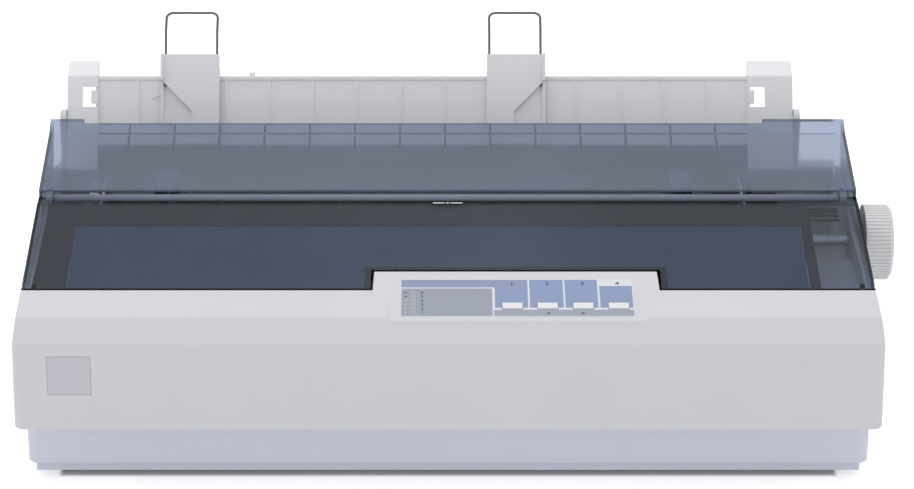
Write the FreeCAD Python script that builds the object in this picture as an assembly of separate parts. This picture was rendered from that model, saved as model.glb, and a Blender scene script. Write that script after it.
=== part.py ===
"""A wide dot matrix printer: casing, hinged smoke covers, paper guide and printing mechanism.

All lengths are in millimetres and all angles in degrees. While the printer is built, X runs
to the right from the casing's centre line, Y runs backwards from the belt edge of the front
face, and Z runs up from a level just above the feet's lower ends. Each piece is moved to the
shared origin as it is written: the middle of the printer's footprint, at table height.
"""
import FreeCAD
import Part
import math
import os

# Cuts and gaps
overrun = 5.0                  # how far a cutting solid runs past the face that it cuts
seat_gap = 0.3                 # between pieces that move past each other
fit_gap = 0.05                 # radial clearance of a pin or shaft in its hole
seam_gap = 0.5                 # the line between a cover and the casing
shortest_edge = 0.003          # points nearer than this count as one

# Casing
casing_half = 295.0            # half width at the belt edge
casing_flare = 1.5             # the face leans out this much from the belt down to the bottom edge
casing_wall = 2.8
casing_corner = 7.0            # rounding of the upright corners
rear_deck_depth = 70.0         # from the exit flap's rear edge to the rear face
belt_height = 104.0            # the edge where the front face turns back
belt_round = 2.5
casing_bottom = 41.0           # lower edge of the upper casing
casing_flange = 32.0           # inward flange that sits on the lower casing
crease_back = 11.5             # the steep band ends this far behind the belt edge
crease_height = 119.0
deck_inset = 1.8               # the casing is this much narrower each side at the crease
deck_back = 45.5               # rear edge of the front deck
deck_height = 123.85
deck_slope = 0.16              # the deck's underside, carried on behind its rear edge
hood_inset = 4.1               # the covers are this much narrower each side at their top
seam_front_height = 118.9      # the casing's side walls under the covers, at the deck's rear edge
seam_rear_height = 134.0       # the same, at the rear cover's rear edge
rear_slope_depth = 22.0        # the side walls slope down behind the covers
rear_deck_drop = 20.0          # below the seam at the exit flap's rear edge
rear_rim_depth = 18.0          # ledge that closes the rear of the bay
rear_chamfer = 4.0
lip_thickness = 2.6            # upright lip inside the covers' skirts
lip_rise = 2.2
lip_setback = 6.6              # from the casing's side at the seam to the lip
shelf_width = 34.0             # ledge inside the right wall, beside the ribbon cartridge
shelf_thickness = 2.5
shelf_height = 110.5
shelf_front = 50.0
shelf_rear = 125.0

# Lower casing
base_half = 291.0
base_taper = 0.6               # narrowing each side from its top to the plinth
base_front = 18.0              # set back behind the belt edge
base_rear_setback = 4.0
base_wall = 3.0
base_corner = 9.0
plinth_inset = 5.0             # the plinth is this much narrower each side
plinth_top = 5.1
base_bottom = -3.0             # underside of the plinth
stand_height = 7.2             # from the table up to the level that heights start from
vent_count = 16
vent_length = 26.0
vent_width = 3.0
vent_pitch = 9.0
foot_radius = 9.0
foot_pocket = 1.5
foot_inset_x = 53.0
foot_inset_y = 26.0
case_screw_radius = 1.9
case_screw_head_radius = 4.0
case_screw_head_height = 2.8
case_screw_length = 42.0
case_screw_slot = 0.8          # width of the driver's slot
case_boss_radius = 6.0
case_boss_inset_x = 25.0       # from the lower casing's side
case_boss_inset_y = 16.0       # from its front and rear
case_boss_rise = 18.0          # height of the upper casing's bosses

# Printer cover, the front smoke cover
cover_wall = 2.2
cover_front = 47.0
cover_front_height = 124.4
cover_front_round = 0.8
cover_rear = 150.0
cover_rear_height = 145.5
cover_step = 1.6               # the groove behind the cover's rear edge
cover_tail = 3.2               # the tail runs this far behind the hinge axis
skirt_front = 55.0
hood_hinge_back = 155.6        # hinge line between the two smoke covers
hood_hinge_height = 146.4
bead_radius = 2.6              # the barrel along the hinge line
bead_left = 281.0
bead_right = 279.0
cover_hinge_back = 51.5
cover_hinge_height = 118.5
cover_hinge_pin_radius = 1.5
cover_ear_width = 3.4
cover_ear_length = 5.4
cover_ear_drop = 2.8           # below the hinge axis
hinge_boss_radius = 4.2        # round each hinge pin's hole in the casing's lips
mark_width = 22.0              # small moulded mark in the middle of the rear edge
mark_depth = 1.4
mark_height = 0.5

# Exit flap, the rear smoke cover
flap_front = 160.0
flap_front_height = 151.0
flap_crease_back = 230.0
flap_crease_rise = 16.0        # from the flap's front edge up to its crease
flap_rear = 240.0
flap_rear_rise = 7.0           # from the crease up to its rear edge
flap_round = 2.0
flap_skirt_front = 161.0
flap_notch_depth = 3.0         # the middle of the rear edge is lower than its ends
flap_notch_left = 266.0
flap_notch_right = 231.0
knuckle_radius = 4.2
knuckle_width = 5.0
knuckle_gap = 0.3
flap_pin_radius = 1.5
flap_rib_count = 14
flap_rib_depth = 5.0
flap_rib_length = 26.0
rib_thickness = 1.2

# Paper path, shared by the guide's ribs, the flap's ribs, platen and tractors
paper_centre = -18.0           # the paper path lies left of the casing's centre line
rib_pitch = 33.0

# Control panel
panel_left = 50.0              # to the left of the centre line
panel_right = 143.0
panel_front = 10.2             # its surface sinks through the deck and ends on the steep band
panel_rear = 66.5
panel_rear_height = 129.2
panel_bevel = 2.6
panel_skirt_height = 113.5     # lower edge of the box under the panel
panel_wall = 2.6
panel_round = 1.2
dish_left = 40.0               # the sunk front part, to the left of the centre line
dish_right = 133.5
dish_rise = 4.0
dish_flare = 2.0               # its sides lean out this many times their rise
notch_gap = 2.3                # from the box's rear wall to the cover's notch
notch_side_gap = 0.8
label_left = 32.6
label_right = 126.5
label_start = 4.5              # up the slope from the panel's front edge
label_length = 42.6
label_thickness = 0.3
button_places = (43.5, 67.5, 91.7, 115.8)
button_slope_place = 15.5      # up the slope
button_width = 13.6
button_length = 6.0
button_rise = 1.2
button_stem = 7.0              # below the panel's surface
button_stem_inset = 1.2
button_collar = 1.0            # keeps the button in its hole
board_drop = 9.0               # top of the panel's board below its surface
board_thickness = 1.6
board_start = 7.5
board_length = 38.0
board_left = 36.0
board_right = 132.0
switch_side = 6.0
switch_height = 0.9
post_radius = 3.0
post_inset = 5.0
panel_screw_radius = 1.0
panel_screw_head_radius = 2.2
panel_screw_head_height = 1.2
panel_screw_length = 6.0
led_radius = 1.1
led_rise = 0.3
led_length = 9.0
led_column = 24.0
led_count = 6
led_pitch = 4.55
led_start = 8.8

# Recess for a name plate on the front, left bare
badge_left = 272.4
badge_width = 30.2
badge_top = 95.4
badge_height = 28.8
badge_depth = 0.7

# Paper guide
guide_lean = 28.0              # backwards from upright
guide_axis_inset = 10.0        # in front of the casing's rear face
guide_axis_rise = 37.0         # above the rear deck
guide_left = 285.5             # outer face of the left end cap
guide_right = 260.5
guide_cap_left_width = 23.0
guide_cap_right_width = 34.0
guide_up = 32.0                # from the axis up to the crease
guide_down = 40.0              # from the axis down to the lower edge
guide_plate = 2.5
guide_rib_depth = 1.5
guide_rim = 2.6                # band along the top edge
cap_front = 3.0                # the caps stand this far in front of the plate
cap_depth = 12.0
cap_wall = 2.0
cap_tip_back = 11.3            # the caps' bent top, across and along the plate
cap_tip_up = 12.8
cap_tip_thickness = 2.9
window_low = 8.5               # above the axis
window_high = 23.7
window_tab = 5.2
window_tab_height = 10.0
window_left_width = 11.5
window_right_width = 13.0
post_thickness = 4.5
ear_radius = 7.0
guide_pin_radius = 3.0
stop_place = -146.7
stop_width = 4.0
stop_height = 4.0
arrow_left = -221.8
arrow_length = 6.3
arrow_height = 6.8
arrow_up = 14.5
arrow_relief = 0.6

# Edge guides and wire supports
edge_width = 44.0
edge_left_place = -193.0       # middle of the left edge guide
edge_right_place = 52.2
edge_top = 47.9                # above the guide's axis
edge_bottom = 21.0             # below it
edge_thickness = 5.1
edge_gap = 0.4
edge_hook_thickness = 2.0
edge_hook_drop = 14.0
edge_lip = 1.8
edge_lip_depth = 5.0
edge_lip_bottom = 28.0
edge_relief = 2.6              # depth of the recess beside the lip
edge_relief_top = 27.0
edge_relief_turn = 5.0
edge_relief_width = 23.6
wire_radius = 1.0
wire_clearance = 0.1
wire_span = 38.6               # between the legs
wire_inset = 3.5               # from the guide's lip side to the first leg
wire_kink = 66.2               # above the guide's axis
wire_back = 14.0               # the upper part runs back and up in the room
wire_rise = 9.0
wire_corner = 5.0
wire_hole_bottom = 5.0
wire_foot = 24.0               # lower ends of the legs above the axis

# Mechanism frame
frame_left = -252.0            # outer faces of the two steel side plates
frame_right = 216.0
frame_sheet = 2.0
frame_front = 58.0
frame_step = 101.5             # top of the front part, where the ribbon cartridge sits
frame_step_back = 132.0
frame_top = 128.0
frame_rear = 240.0
frame_corner = 4.0
frame_foot = 11.0
beam_sheet = 1.5
front_beam_back = 60.0
front_beam_bottom = 50.0
rail_height = 96.5             # top face of the carriage's front rail
rail_width = 14.0
rear_beam_back = 231.0
rear_beam_bottom = 26.0
rear_beam_top = 66.0
rear_beam_flange = 8.0
frame_screw_radius = 1.5
frame_screw_head_radius = 3.0
frame_screw_head_height = 2.0
frame_screw_front = 80.0
frame_screw_rear = 215.0

# Platen, its drive and its knob
platen_back = 150.0
platen_height = 114.7
platen_radius = 20.0
platen_rubber = 3.0
platen_core_wall = 2.0
platen_left = -245.0
platen_right = 209.0
platen_shaft_radius = 4.0
bush_radius = 8.0
bush_flange_radius = 10.0
bush_flange = 1.5
knob_radius = 26.9
knob_end = 316.2
knob_gap = 1.6                 # from the casing's belt to the knob
knob_ribs = 60
knob_rib_share = 0.5           # of the pitch, taken by a rib's outer face
knob_flank_share = 0.1         # of the pitch, taken by each of its sides
knob_rib_depth = 0.8
knob_round = 2.5
knob_cap_depth = 1.2
knob_cap_radius = 17.0
knob_hole_radius = 8.0
knob_shaft_reach = 15.0        # depth of the shaft in the knob
pan_gap = 1.6
pan_sheet = 0.8
pan_start_angle = 212.0
pan_sweep_angle = 138.0
pressure_radius = 7.0
pressure_shaft_radius = 2.5
pressure_angle = 255.0
pressure_length = 34.0
pressure_places_shares = (-0.36, -0.12, 0.12, 0.36)
pressure_window_gap = 2.0
gear_module = 1.0
gear_width = 6.0
gear_gap = 2.0
gear_backlash = 0.12
pressure_side_angle = 20.0     # tooth flank angle
platen_teeth = 42
idler_teeth = 36
tractor_teeth = 30
small_teeth = 18
large_teeth = 54
pinion_teeth = 18
reduction_angle = -60.0
pinion_angle = -50.0
stud_radius = 2.5
motor_side = 42.0
motor_length = 34.0
motor_corner = 4.0
motor_boss_radius = 11.0
motor_boss_height = 2.0
motor_shaft_radius = 2.5

# Tractors
tractor_left_place = -205.0
tractor_right_place = 170.0
tractor_half = 7.0
tractor_front = 190.0
tractor_rear = 238.0
tractor_up = 11.0
tractor_down = 11.0
tractor_corner = 3.0
tractor_slot_front = 202.0
tractor_slot_half = 3.2
guide_shaft_back = 196.0
guide_shaft_radius = 3.0
drive_square = 6.0
drive_journal_radius = 2.9
sprocket_radius = 11.5
sprocket_half = 2.7
sprocket_pins = 7
sprocket_turn_share = 0.35     # of the pitch, by which the first pin is turned
sprocket_pin_radius = 1.3
sprocket_pin_tip = 0.8
sprocket_pin_height = 2.6
lid_thickness = 1.8
lid_lift = 5.0                 # inside height over the sprocket
lid_hinge_out = 2.2            # hinge axis outside the tractor's side
lid_knuckle_radius = 1.8
lid_pin_radius = 0.8
lid_front = 206.0
lock_axis_up = 5.0
lock_axis_front = 6.0          # in front of the tractor
lock_hub_radius = 3.2
lock_width = 6.0
lock_length = 13.0
lock_thickness = 2.4
lock_pin_radius = 1.2
lock_ear = 1.8

# Carriage, print head and belt drive
carriage_back = 104.0
carriage_height = 84.0
carriage_shaft_radius = 5.0
carriage_half = 24.0
carriage_front = 93.0
carriage_rear = 117.0
carriage_bottom = 74.0
carriage_top = 97.5
carriage_bush_radius = 7.5
carriage_bush_length = 9.0
fork_lip = 2.4
fork_front = 64.0
fork_half = 15.0
head_half = 15.0
head_front = 96.0
head_rear = 120.0
head_top = 126.5
nose_half = 8.0
nose_low = 107.0
nose_high = 122.0
nose_tip = 128.2
nose_chamfer = 2.4
fin_count = 7
fin_thickness = 1.0
fin_front = 93.6
fin_back = 101.0
fin_bottom = 103.0
fin_top = 127.0
ribbon_back = 128.9
ribbon_thickness = 0.15
mask_gap = 0.35
mask_sheet = 0.2
mask_half = 19.0
mask_low = 100.0
mask_high = 123.5
mask_window_half = 6.0
mask_window_low = 109.0
mask_window_high = 120.4
pulley_radius = 7.0
pulley_flange_radius = 9.0
pulley_flange = 1.0
belt_width = 6.0
belt_thickness = 1.2
belt_height_place = 66.0       # middle of the belt
belt_back = 87.0
belt_left = -215.0
belt_right = 190.0
belt_gap = 0.1
clamp_half = 8.0
clamp_wall = 2.0
carriage_motor_radius = 18.0
carriage_motor_height = 30.0
motor_bracket_sheet = 1.5
idler_bracket_half = 10.0

# Ribbon cartridge
cartridge_left = -264.0
cartridge_right = 246.0
cartridge_front = 70.0
cartridge_rear = 91.0
cartridge_top = 115.5
cartridge_round = 3.0
arm_left = -254.5
arm_right = 210.5
arm_width = 8.0
arm_rear = 130.5
arm_top = 122.0
arm_start_back = 84.0
ribbon_low = 108.3
ribbon_high = 121.2
ribbon_knob_radius = 8.0
ribbon_knob_height = 4.0
ribbon_knob_inset = 30.0
ribbon_knob_axle = 2.0
ribbon_knob_ribs = 16

# Levers
gap_lever_place = 248.3
gap_lever_thickness = 2.2
gap_lever_width = 8.0
gap_lever_top = 124.0
gap_lever_hub = 8.5
release_back = 190.0
release_height = 92.0
release_thickness = 2.0
release_hub = 6.0
release_width = 7.0
release_top = 146.0
release_grip = 10.0
release_stud_radius = 2.5

# Electrics
board_left_place = -235.0
board_right_place = 198.0
main_board_front = 68.0
main_board_rear = 226.0
main_board_height = 14.0
standoff_radius = 3.5
standoff_inset = 8.0
chip_height = 3.0
chip_places_shares = ((0.12, 0.25, 0.16, 0.1), (0.45, 0.3, 0.08, 0.2),
                      (0.7, 0.2, 0.12, 0.08), (0.3, 0.72, 0.1, 0.12), (0.78, 0.66, 0.07, 0.16))
power_board_left = 222.0
power_board_right = 276.0
power_board_front = 66.0
power_board_rear = 158.0
capacitor_radius = 11.0
capacitor_height = 32.0
core_width = 42.0
core_depth = 54.0
core_height = 34.0
core_front = 166.0
core_limb = 8.0
winding_gap = 0.5
winding_proud = 5.0
inlet_place = 236.0
inlet_height = 75.0
inlet_width = 31.0
inlet_tall = 24.0
inlet_flange = 4.0
inlet_flange_thickness = 2.0
inlet_depth = 20.0
inlet_socket_width = 24.0
inlet_socket_tall = 18.0
inlet_socket_depth = 16.0
blade_width = 2.0
blade_tall = 4.0
blade_length = 13.0
blade_spread = 7.0
blade_offset = 2.0
connector_place = -150.0
connector_height = 62.0
connector_width = 68.0
connector_tall = 16.0
connector_depth = 12.0
connector_proud = 4.0
connector_wall = 1.5
connector_slot_depth = 9.0
tongue_tall = 3.2
tongue_inset = 7.0
switch_width = 18.0            # beside the inlet, in the same housing
switch_wall = 2.0
rocker_gap = 0.4
rocker_depth = 8.0             # from the casing's rear face in to the rocker's pin
rocker_proud = 3.0
rocker_pin_radius = 1.2
rocker_tilt = 8.0              # each way from level

# Worked out from the sizes above
casing_depth = flap_rear + rear_deck_depth
rear_deck_height = seam_rear_height - rear_deck_drop
flap_crease_height = flap_front_height + flap_crease_rise
flap_rear_height = flap_crease_height + flap_rear_rise
guide_axis_back = casing_depth - guide_axis_inset
guide_axis_height = rear_deck_height + guide_axis_rise
deck_half = casing_half - deck_inset
hood_half = casing_half - hood_inset
hood_slope = (cover_rear_height - cover_front_height) / (cover_rear - cover_front)
seam_slope = (seam_rear_height - seam_front_height) / (flap_rear - deck_back)
knob_start = casing_half + knob_gap
wire_depth = -guide_rib_depth - edge_gap - edge_thickness / 2
footprint_rear = (
    guide_axis_back + wire_depth * math.cos(math.radians(guide_lean))
    + wire_kink * math.sin(math.radians(guide_lean)) + wire_back + wire_radius
)
footprint_front = -casing_flare
origin_x = (knob_end - casing_half - casing_flare) / 2
origin_y = (footprint_front + footprint_rear) / 2
frame_bottom = base_bottom + base_wall
panel_front_height = belt_height + (crease_height - belt_height) * panel_front / crease_back
lip_outer = deck_half - lip_setback + lip_thickness
lip_inner = deck_half - lip_setback


def vec(x, y, z):
    return FreeCAD.Vector(x, y, z)


def save(name, *solids):
    """Write one piece, or a group of like pieces, about the shared origin."""
    shape = solids[0] if len(solids) == 1 else Part.makeCompound(list(solids))
    shape = shape.copy()
    shape.translate(vec(-origin_x, -origin_y, stand_height))
    shape.exportStep(os.path.join("parts", name + ".step"))


def block(x0, x1, y0, y1, z0, z1):
    """A box between two opposite corners."""
    return Part.makeBox(x1 - x0, y1 - y0, z1 - z0, vec(x0, y0, z0))


def rod_x(x0, x1, y, z, radius):
    return Part.makeCylinder(radius, x1 - x0, vec(x0, y, z), vec(1, 0, 0))


def rod_y(y0, y1, x, z, radius):
    return Part.makeCylinder(radius, y1 - y0, vec(x, y0, z), vec(0, 1, 0))


def rod_z(z0, z1, x, y, radius):
    return Part.makeCylinder(radius, z1 - z0, vec(x, y, z0), vec(0, 0, 1))


def rounded_face(corners, place):
    """A flat face through corners (a, b, radius), with each corner rounded by its radius."""
    spans = []
    arcs = []
    for i, (a, b, radius) in enumerate(corners):
        here = place(a, b)
        before = place(*corners[i - 1][:2])
        after = place(*corners[(i + 1) % len(corners)][:2])
        come = (here - before).normalize()
        go = (after - here).normalize()
        turn = come.getAngle(go)
        if radius > 0 and math.sin(turn) > 0:
            reach = radius * math.tan(turn / 2)
            inward = (go - come).normalize()
            middle = here + inward * (radius / math.cos(turn / 2) - radius)
            spans.append((here - come * reach, here + go * reach))
            arcs.append(Part.Arc(spans[-1][0], middle, spans[-1][1]).toShape())
        else:
            spans.append((here, here))
            arcs.append(None)
    edges = []
    for i, (first, last) in enumerate(spans):
        if arcs[i]:
            edges.append(arcs[i])
        following = spans[(i + 1) % len(spans)][0]
        if last.distanceToPoint(following) > shortest_edge:
            edges.append(Part.makeLine(last, following))
    return Part.Face(Part.Wire(edges))


def with_radius(corners, radius=0):
    return [corner if len(corner) == 3 else (*corner, radius) for corner in corners]


def prism_x(corners, x0, x1, radius=0):
    """Corners in (y, z), drawn out from x0 to x1."""
    face = rounded_face(with_radius(corners, radius), lambda y, z: vec(x0, y, z))
    return face.extrude(vec(x1 - x0, 0, 0))


def prism_y(corners, y0, y1, radius=0):
    """Corners in (x, z), drawn out from y0 to y1."""
    face = rounded_face(with_radius(corners, radius), lambda x, z: vec(x, y0, z))
    return face.extrude(vec(0, y1 - y0, 0))


def prism_z(corners, z0, z1, radius=0):
    """Corners in (x, y), drawn out from z0 to z1."""
    face = rounded_face(with_radius(corners, radius), lambda x, y: vec(x, y, z0))
    return face.extrude(vec(0, 0, z1 - z0))


def mirrored(half_corners):
    """A closed outline from its right half, listed upwards, and the same points on the left."""
    return half_corners + [(-x, z) for x, z in reversed(half_corners)]


def join(*solids):
    """Solids that touch or overlap, fused into one."""
    shape = solids[0]
    for solid in solids[1:]:
        shape = shape.fuse(solid)
    return shape.removeSplitter()


def seam_height(y):
    """Top of the casing's side wall under the covers."""
    return seam_front_height + seam_slope * (y - deck_back)


def hood_height(y):
    """Top surface of the front smoke cover."""
    return cover_front_height + hood_slope * (y - cover_front)


# Casing

def casing_prism(inset, profile):
    """The casing's outside, or the same moved inwards, with a side profile of its own."""
    half = casing_half - inset
    sides = mirrored([
        (half + casing_flare, casing_bottom - overrun), (half, belt_height),
        (half - deck_inset, crease_height), (half - hood_inset, flap_rear_height + overrun),
    ])
    corner = max(casing_corner - inset, casing_wall)
    plan_half = half + casing_flare
    front = footprint_front + inset
    rear = casing_depth - inset
    plan = [(-plan_half, front), (plan_half, front), (plan_half, rear), (-plan_half, rear)]
    shape = prism_x(profile, -plan_half, plan_half)
    shape = shape.common(prism_y(sides, front - overrun, rear + overrun))
    return shape.common(prism_z(plan, 0, flap_rear_height + overrun, corner))


def casing_shell():
    outside = [
        (footprint_front, casing_bottom), (0, belt_height, belt_round),
        (crease_back, crease_height, belt_round), (deck_back, deck_height),
        (deck_back, seam_front_height), (flap_rear, seam_rear_height),
        (flap_rear + rear_slope_depth, rear_deck_height),
        (casing_depth - rear_chamfer, rear_deck_height), (casing_depth, rear_deck_height - rear_chamfer),
        (casing_depth, casing_bottom),
    ]
    wall = casing_wall
    inside = [
        (footprint_front + wall, casing_bottom + wall), (wall, belt_height - wall / 2),
        (crease_back + wall / 2, crease_height - wall),
        (deck_back + overrun, deck_height - wall + overrun * deck_slope),
        (deck_back + overrun, flap_rear_height), (casing_depth - rear_rim_depth, flap_rear_height),
        (casing_depth - rear_rim_depth, rear_deck_height - wall),
        (casing_depth - wall, rear_deck_height - wall), (casing_depth - wall, casing_bottom + wall),
    ]
    shell = casing_prism(0, outside).cut(casing_prism(wall, inside))
    flange_half = casing_half - casing_flange
    flange_hole = block(-flange_half, flange_half, casing_flange, casing_depth - casing_flange,
                        casing_bottom - overrun, casing_bottom + wall + overrun)
    return shell.cut(flange_hole)


def lip_solids():
    """An upright lip along each side of the opening, which the covers' skirts pass outside."""
    drop = belt_height - casing_wall
    corners = [
        (deck_back, drop), (flap_rear, drop),
        (flap_rear, seam_height(flap_rear) + lip_rise), (deck_back, seam_front_height + lip_rise),
    ]
    lips = []
    for low, high in ((lip_inner, lip_outer), (-lip_outer, -lip_inner)):
        lips.append(prism_x(corners, low, high))
    foot = [
        (deck_back, drop), (flap_rear, drop),
        (flap_rear, drop + casing_wall), (deck_back, drop + casing_wall),
    ]
    reach = casing_half - casing_wall / 2
    return lips + [prism_x(foot, lip_inner, reach), prism_x(foot, -reach, -lip_inner)]


def panel_angle():
    return math.atan2(panel_rear_height - panel_front_height, panel_rear - panel_front)


def on_panel(shape):
    """Place a shape drawn with X across the panel, Y up its slope and Z out of its surface."""
    moved = shape.copy()
    moved.rotate(vec(0, 0, 0), vec(1, 0, 0), math.degrees(panel_angle()))
    moved.translate(vec(0, panel_front, panel_front_height))
    return moved


def panel_box(inset, floor):
    """The raised box under the control panel, or its hollow when moved inwards."""
    low = panel_skirt_height - floor
    slope = math.tan(panel_angle())
    sink = inset / math.cos(panel_angle())
    profile = [
        (panel_front + inset, low), (panel_front + inset, panel_front_height + slope * inset - sink),
        (panel_rear - inset, panel_rear_height - slope * inset - sink, panel_round),
        (panel_rear + panel_wall / 4 - inset, low),
    ]
    left_foot = inset - panel_left - panel_bevel
    right_foot = panel_right + panel_bevel - inset
    sides = [
        (left_foot, low - overrun), (left_foot, crease_height - inset),
        (inset - panel_left, panel_rear_height + overrun), (panel_right - inset, panel_rear_height + overrun),
        (right_foot, crease_height - inset), (right_foot, low - overrun),
    ]
    shape = prism_x(profile, -panel_left - panel_bevel, panel_right + panel_bevel)
    return shape.common(prism_y(sides, 0, panel_rear + overrun))


def panel_dish():
    """The room over the sunk front part of the control panel, which widens upwards."""
    flare = dish_rise * dish_flare
    sides = [(-dish_left, 0), (dish_right, 0), (dish_right + flare, dish_rise), (-dish_left - flare, dish_rise)]
    return on_panel(prism_y(sides, -panel_front, deck_back - panel_front))


def board_posts():
    """Where the control panel's board is screwed to the casing, across and up the slope."""
    xs = (-board_left + post_inset, board_right - post_inset)
    ys = (board_start + post_inset, board_start + board_length - post_inset)
    return [(x, y) for x in xs for y in ys]


def panel_posts():
    posts = []
    for x, y in board_posts():
        post = rod_z(-board_drop, -panel_wall / 2, x, y, post_radius)
        posts.append(on_panel(post))
    return posts


def panel_holes():
    """Holes for the buttons, the indicators and the board's screws."""
    holes = []
    half_x = button_width / 2 + seat_gap
    half_y = button_length / 2 + seat_gap
    for x in button_places:
        hole = block(x - half_x, x + half_x, button_slope_place - half_y, button_slope_place + half_y,
                     -panel_wall - overrun, overrun)
        holes.append(on_panel(hole))
    for x, y in led_places():
        holes.append(on_panel(rod_z(-panel_wall - overrun, overrun, x, y, led_radius + fit_gap)))
    for x, y in board_posts():
        holes.append(on_panel(rod_z(-board_drop - overrun, -board_drop + panel_screw_length, x, y,
                                    panel_screw_radius + fit_gap)))
    return holes


def led_places():
    return [(-led_column, led_start + led_pitch * i) for i in range(led_count)]


def cover_gutter():
    """The cove behind the deck, which the front edge of the cover turns in as it opens."""
    radius = math.hypot(cover_hinge_back - cover_front, cover_front_height - cover_hinge_height) + seat_gap
    full = rod_x(-casing_half, casing_half, cover_hinge_back, cover_hinge_height, radius)
    guard = block(-panel_left - panel_bevel, panel_right + panel_bevel, 0, casing_depth, 0, flap_rear_height)
    above = block(-casing_half, casing_half, 0, cover_hinge_back,
                  cover_hinge_height - radius / 2, flap_rear_height)
    return full.cut(guard).common(above)


def guide_ears():
    """Posts on the rear ledge that carry the paper guide's pivots."""
    ears = []
    left = -guide_left - seam_gap - post_thickness
    right = guide_right + seam_gap
    for x in (left, right):
        foot = block(x, x + post_thickness, guide_axis_back - ear_radius, guide_axis_back + ear_radius,
                     rear_deck_height - casing_wall / 2, guide_axis_height)
        ear = rod_x(x, x + post_thickness, guide_axis_back, guide_axis_height, ear_radius)
        hole = rod_x(x - overrun, x + post_thickness + overrun, guide_axis_back, guide_axis_height,
                     guide_pin_radius + fit_gap)
        ears.append(join(foot, ear).cut(hole))
    return ears


def case_boss_places():
    xs = (-base_half + case_boss_inset_x, base_half - case_boss_inset_x)
    ys = (base_front + case_boss_inset_y, casing_depth - base_rear_setback - case_boss_inset_y)
    return [(x, y) for x in xs for y in ys]


def hinge_bosses():
    """Round bosses on the lips, which hold the cover's hinge pins in front of the lips' cut ends."""
    bosses = []
    for low, high in ((lip_inner, lip_outer), (-lip_outer, -lip_inner)):
        boss = rod_x(low, high, cover_hinge_back, cover_hinge_height, hinge_boss_radius)
        foot = block(low, high, cover_hinge_back - hinge_boss_radius, cover_hinge_back + hinge_boss_radius,
                     belt_height, cover_hinge_height - hinge_boss_radius / 2)
        bosses.append(join(boss, foot))
    return bosses


def module_span():
    """Left and right ends of the housing that holds the inlet and the power switch."""
    right = inlet_place + inlet_width / 2
    return right - inlet_width - switch_width, right


def rear_openings():
    """Cutting solids of the rear wall's openings for the mains inlet and the data connector."""
    left, right = module_span()
    inlet = block(left - fit_gap, right + fit_gap, casing_depth - 2 * casing_wall, casing_depth + overrun,
                  inlet_height - inlet_tall / 2 - fit_gap, inlet_height + inlet_tall / 2 + fit_gap)
    half_w, half_t = connector_width / 2 + fit_gap, connector_tall / 2 + fit_gap
    data = block(connector_place - half_w, connector_place + half_w, casing_depth - 2 * casing_wall,
                 casing_depth + overrun, connector_height - half_t, connector_height + half_t)
    return inlet.fuse(data)


def shelf_solid():
    return block(casing_half - casing_wall - shelf_width, casing_half - casing_wall / 2,
                 shelf_front, shelf_rear, shelf_height - shelf_thickness, shelf_height)


def badge_recess():
    """The cutting solid of the bare recess, parallel to the leaning front face."""
    low = badge_top - badge_height
    lean = casing_flare / (belt_height - casing_bottom)
    low_face = -lean * (belt_height - low)
    high_face = -lean * (belt_height - badge_top)
    corners = [
        (low_face - overrun, low), (low_face + badge_depth, low),
        (high_face + badge_depth, badge_top), (high_face - overrun, badge_top),
    ]
    return prism_x(corners, -badge_left, -badge_left + badge_width)


def upper_case():
    shape = casing_shell().cut(panel_dish()).fuse(panel_box(0, 0))
    for solid in lip_solids() + [shelf_solid()] + guide_ears():
        shape = shape.fuse(solid)
    hollow = panel_box(panel_wall, overrun)
    shape = shape.cut(hollow)
    for post in panel_posts():
        shape = shape.fuse(post)
    for x, y in case_boss_places():
        shape = shape.fuse(rod_z(casing_bottom, casing_bottom + case_boss_rise, x, y, case_boss_radius))
    shape = shape.cut(cover_gutter())
    for boss in hinge_bosses():
        shape = shape.fuse(boss)
    cuts = panel_holes() + [badge_recess(), rear_openings()]
    for x, y in case_boss_places():
        cuts.append(rod_z(casing_bottom - overrun, casing_bottom + case_boss_rise - casing_wall, x, y,
                          case_screw_radius + fit_gap))
    cuts.append(rod_x(casing_half - casing_flange, casing_half + overrun, platen_back, platen_height,
                      knob_hole_radius))
    for side in (-1, 1):
        x = side * (lip_inner + lip_thickness / 2)
        cuts.append(rod_x(x - lip_thickness, x + lip_thickness, cover_hinge_back, cover_hinge_height,
                          cover_hinge_pin_radius + fit_gap))
    for cut in cuts:
        shape = shape.cut(cut)
    save("upper_case", shape.removeSplitter())


def tray_prism(inset, bottom, top):
    """The lower casing's outside with its plinth, or the same moved inwards."""
    half_top = base_half - inset
    half_low = half_top - base_taper
    half_plinth = half_low - plinth_inset
    front = base_front + inset
    rear = casing_depth - base_rear_setback - inset
    step = plinth_top + (inset if inset else 0)
    sides = mirrored([(half_plinth, bottom), (half_plinth, step), (half_low, step), (half_top, top)])
    run = [
        (front + base_taper + plinth_inset, bottom), (front + base_taper + plinth_inset, step),
        (front + base_taper, step), (front, top), (rear, top), (rear - base_taper, step),
        (rear - base_taper - plinth_inset, step), (rear - base_taper - plinth_inset, bottom),
    ]
    plan = [(-half_top, front), (half_top, front), (half_top, rear), (-half_top, rear)]
    shape = prism_x(run, -half_top, half_top)
    shape = shape.common(prism_y(sides, front, rear))
    return shape.common(prism_z(plan, bottom - overrun, top + overrun, max(base_corner - inset, base_wall)))


def foot_places():
    xs = (-base_half + foot_inset_x, base_half - foot_inset_x)
    ys = (base_front + foot_inset_y, casing_depth - base_rear_setback - foot_inset_y)
    return [(x, y) for x in xs for y in ys]


def standoff_places():
    xs = (board_left_place + standoff_inset, board_right_place - standoff_inset)
    ys = (main_board_front + standoff_inset, main_board_rear - standoff_inset)
    return [(x, y) for x in xs for y in ys]


def power_standoff_places():
    xs = (power_board_left + standoff_inset, power_board_right - standoff_inset)
    ys = (power_board_front + standoff_inset, power_board_rear - standoff_inset)
    return [(x, y) for x in xs for y in ys]


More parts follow.
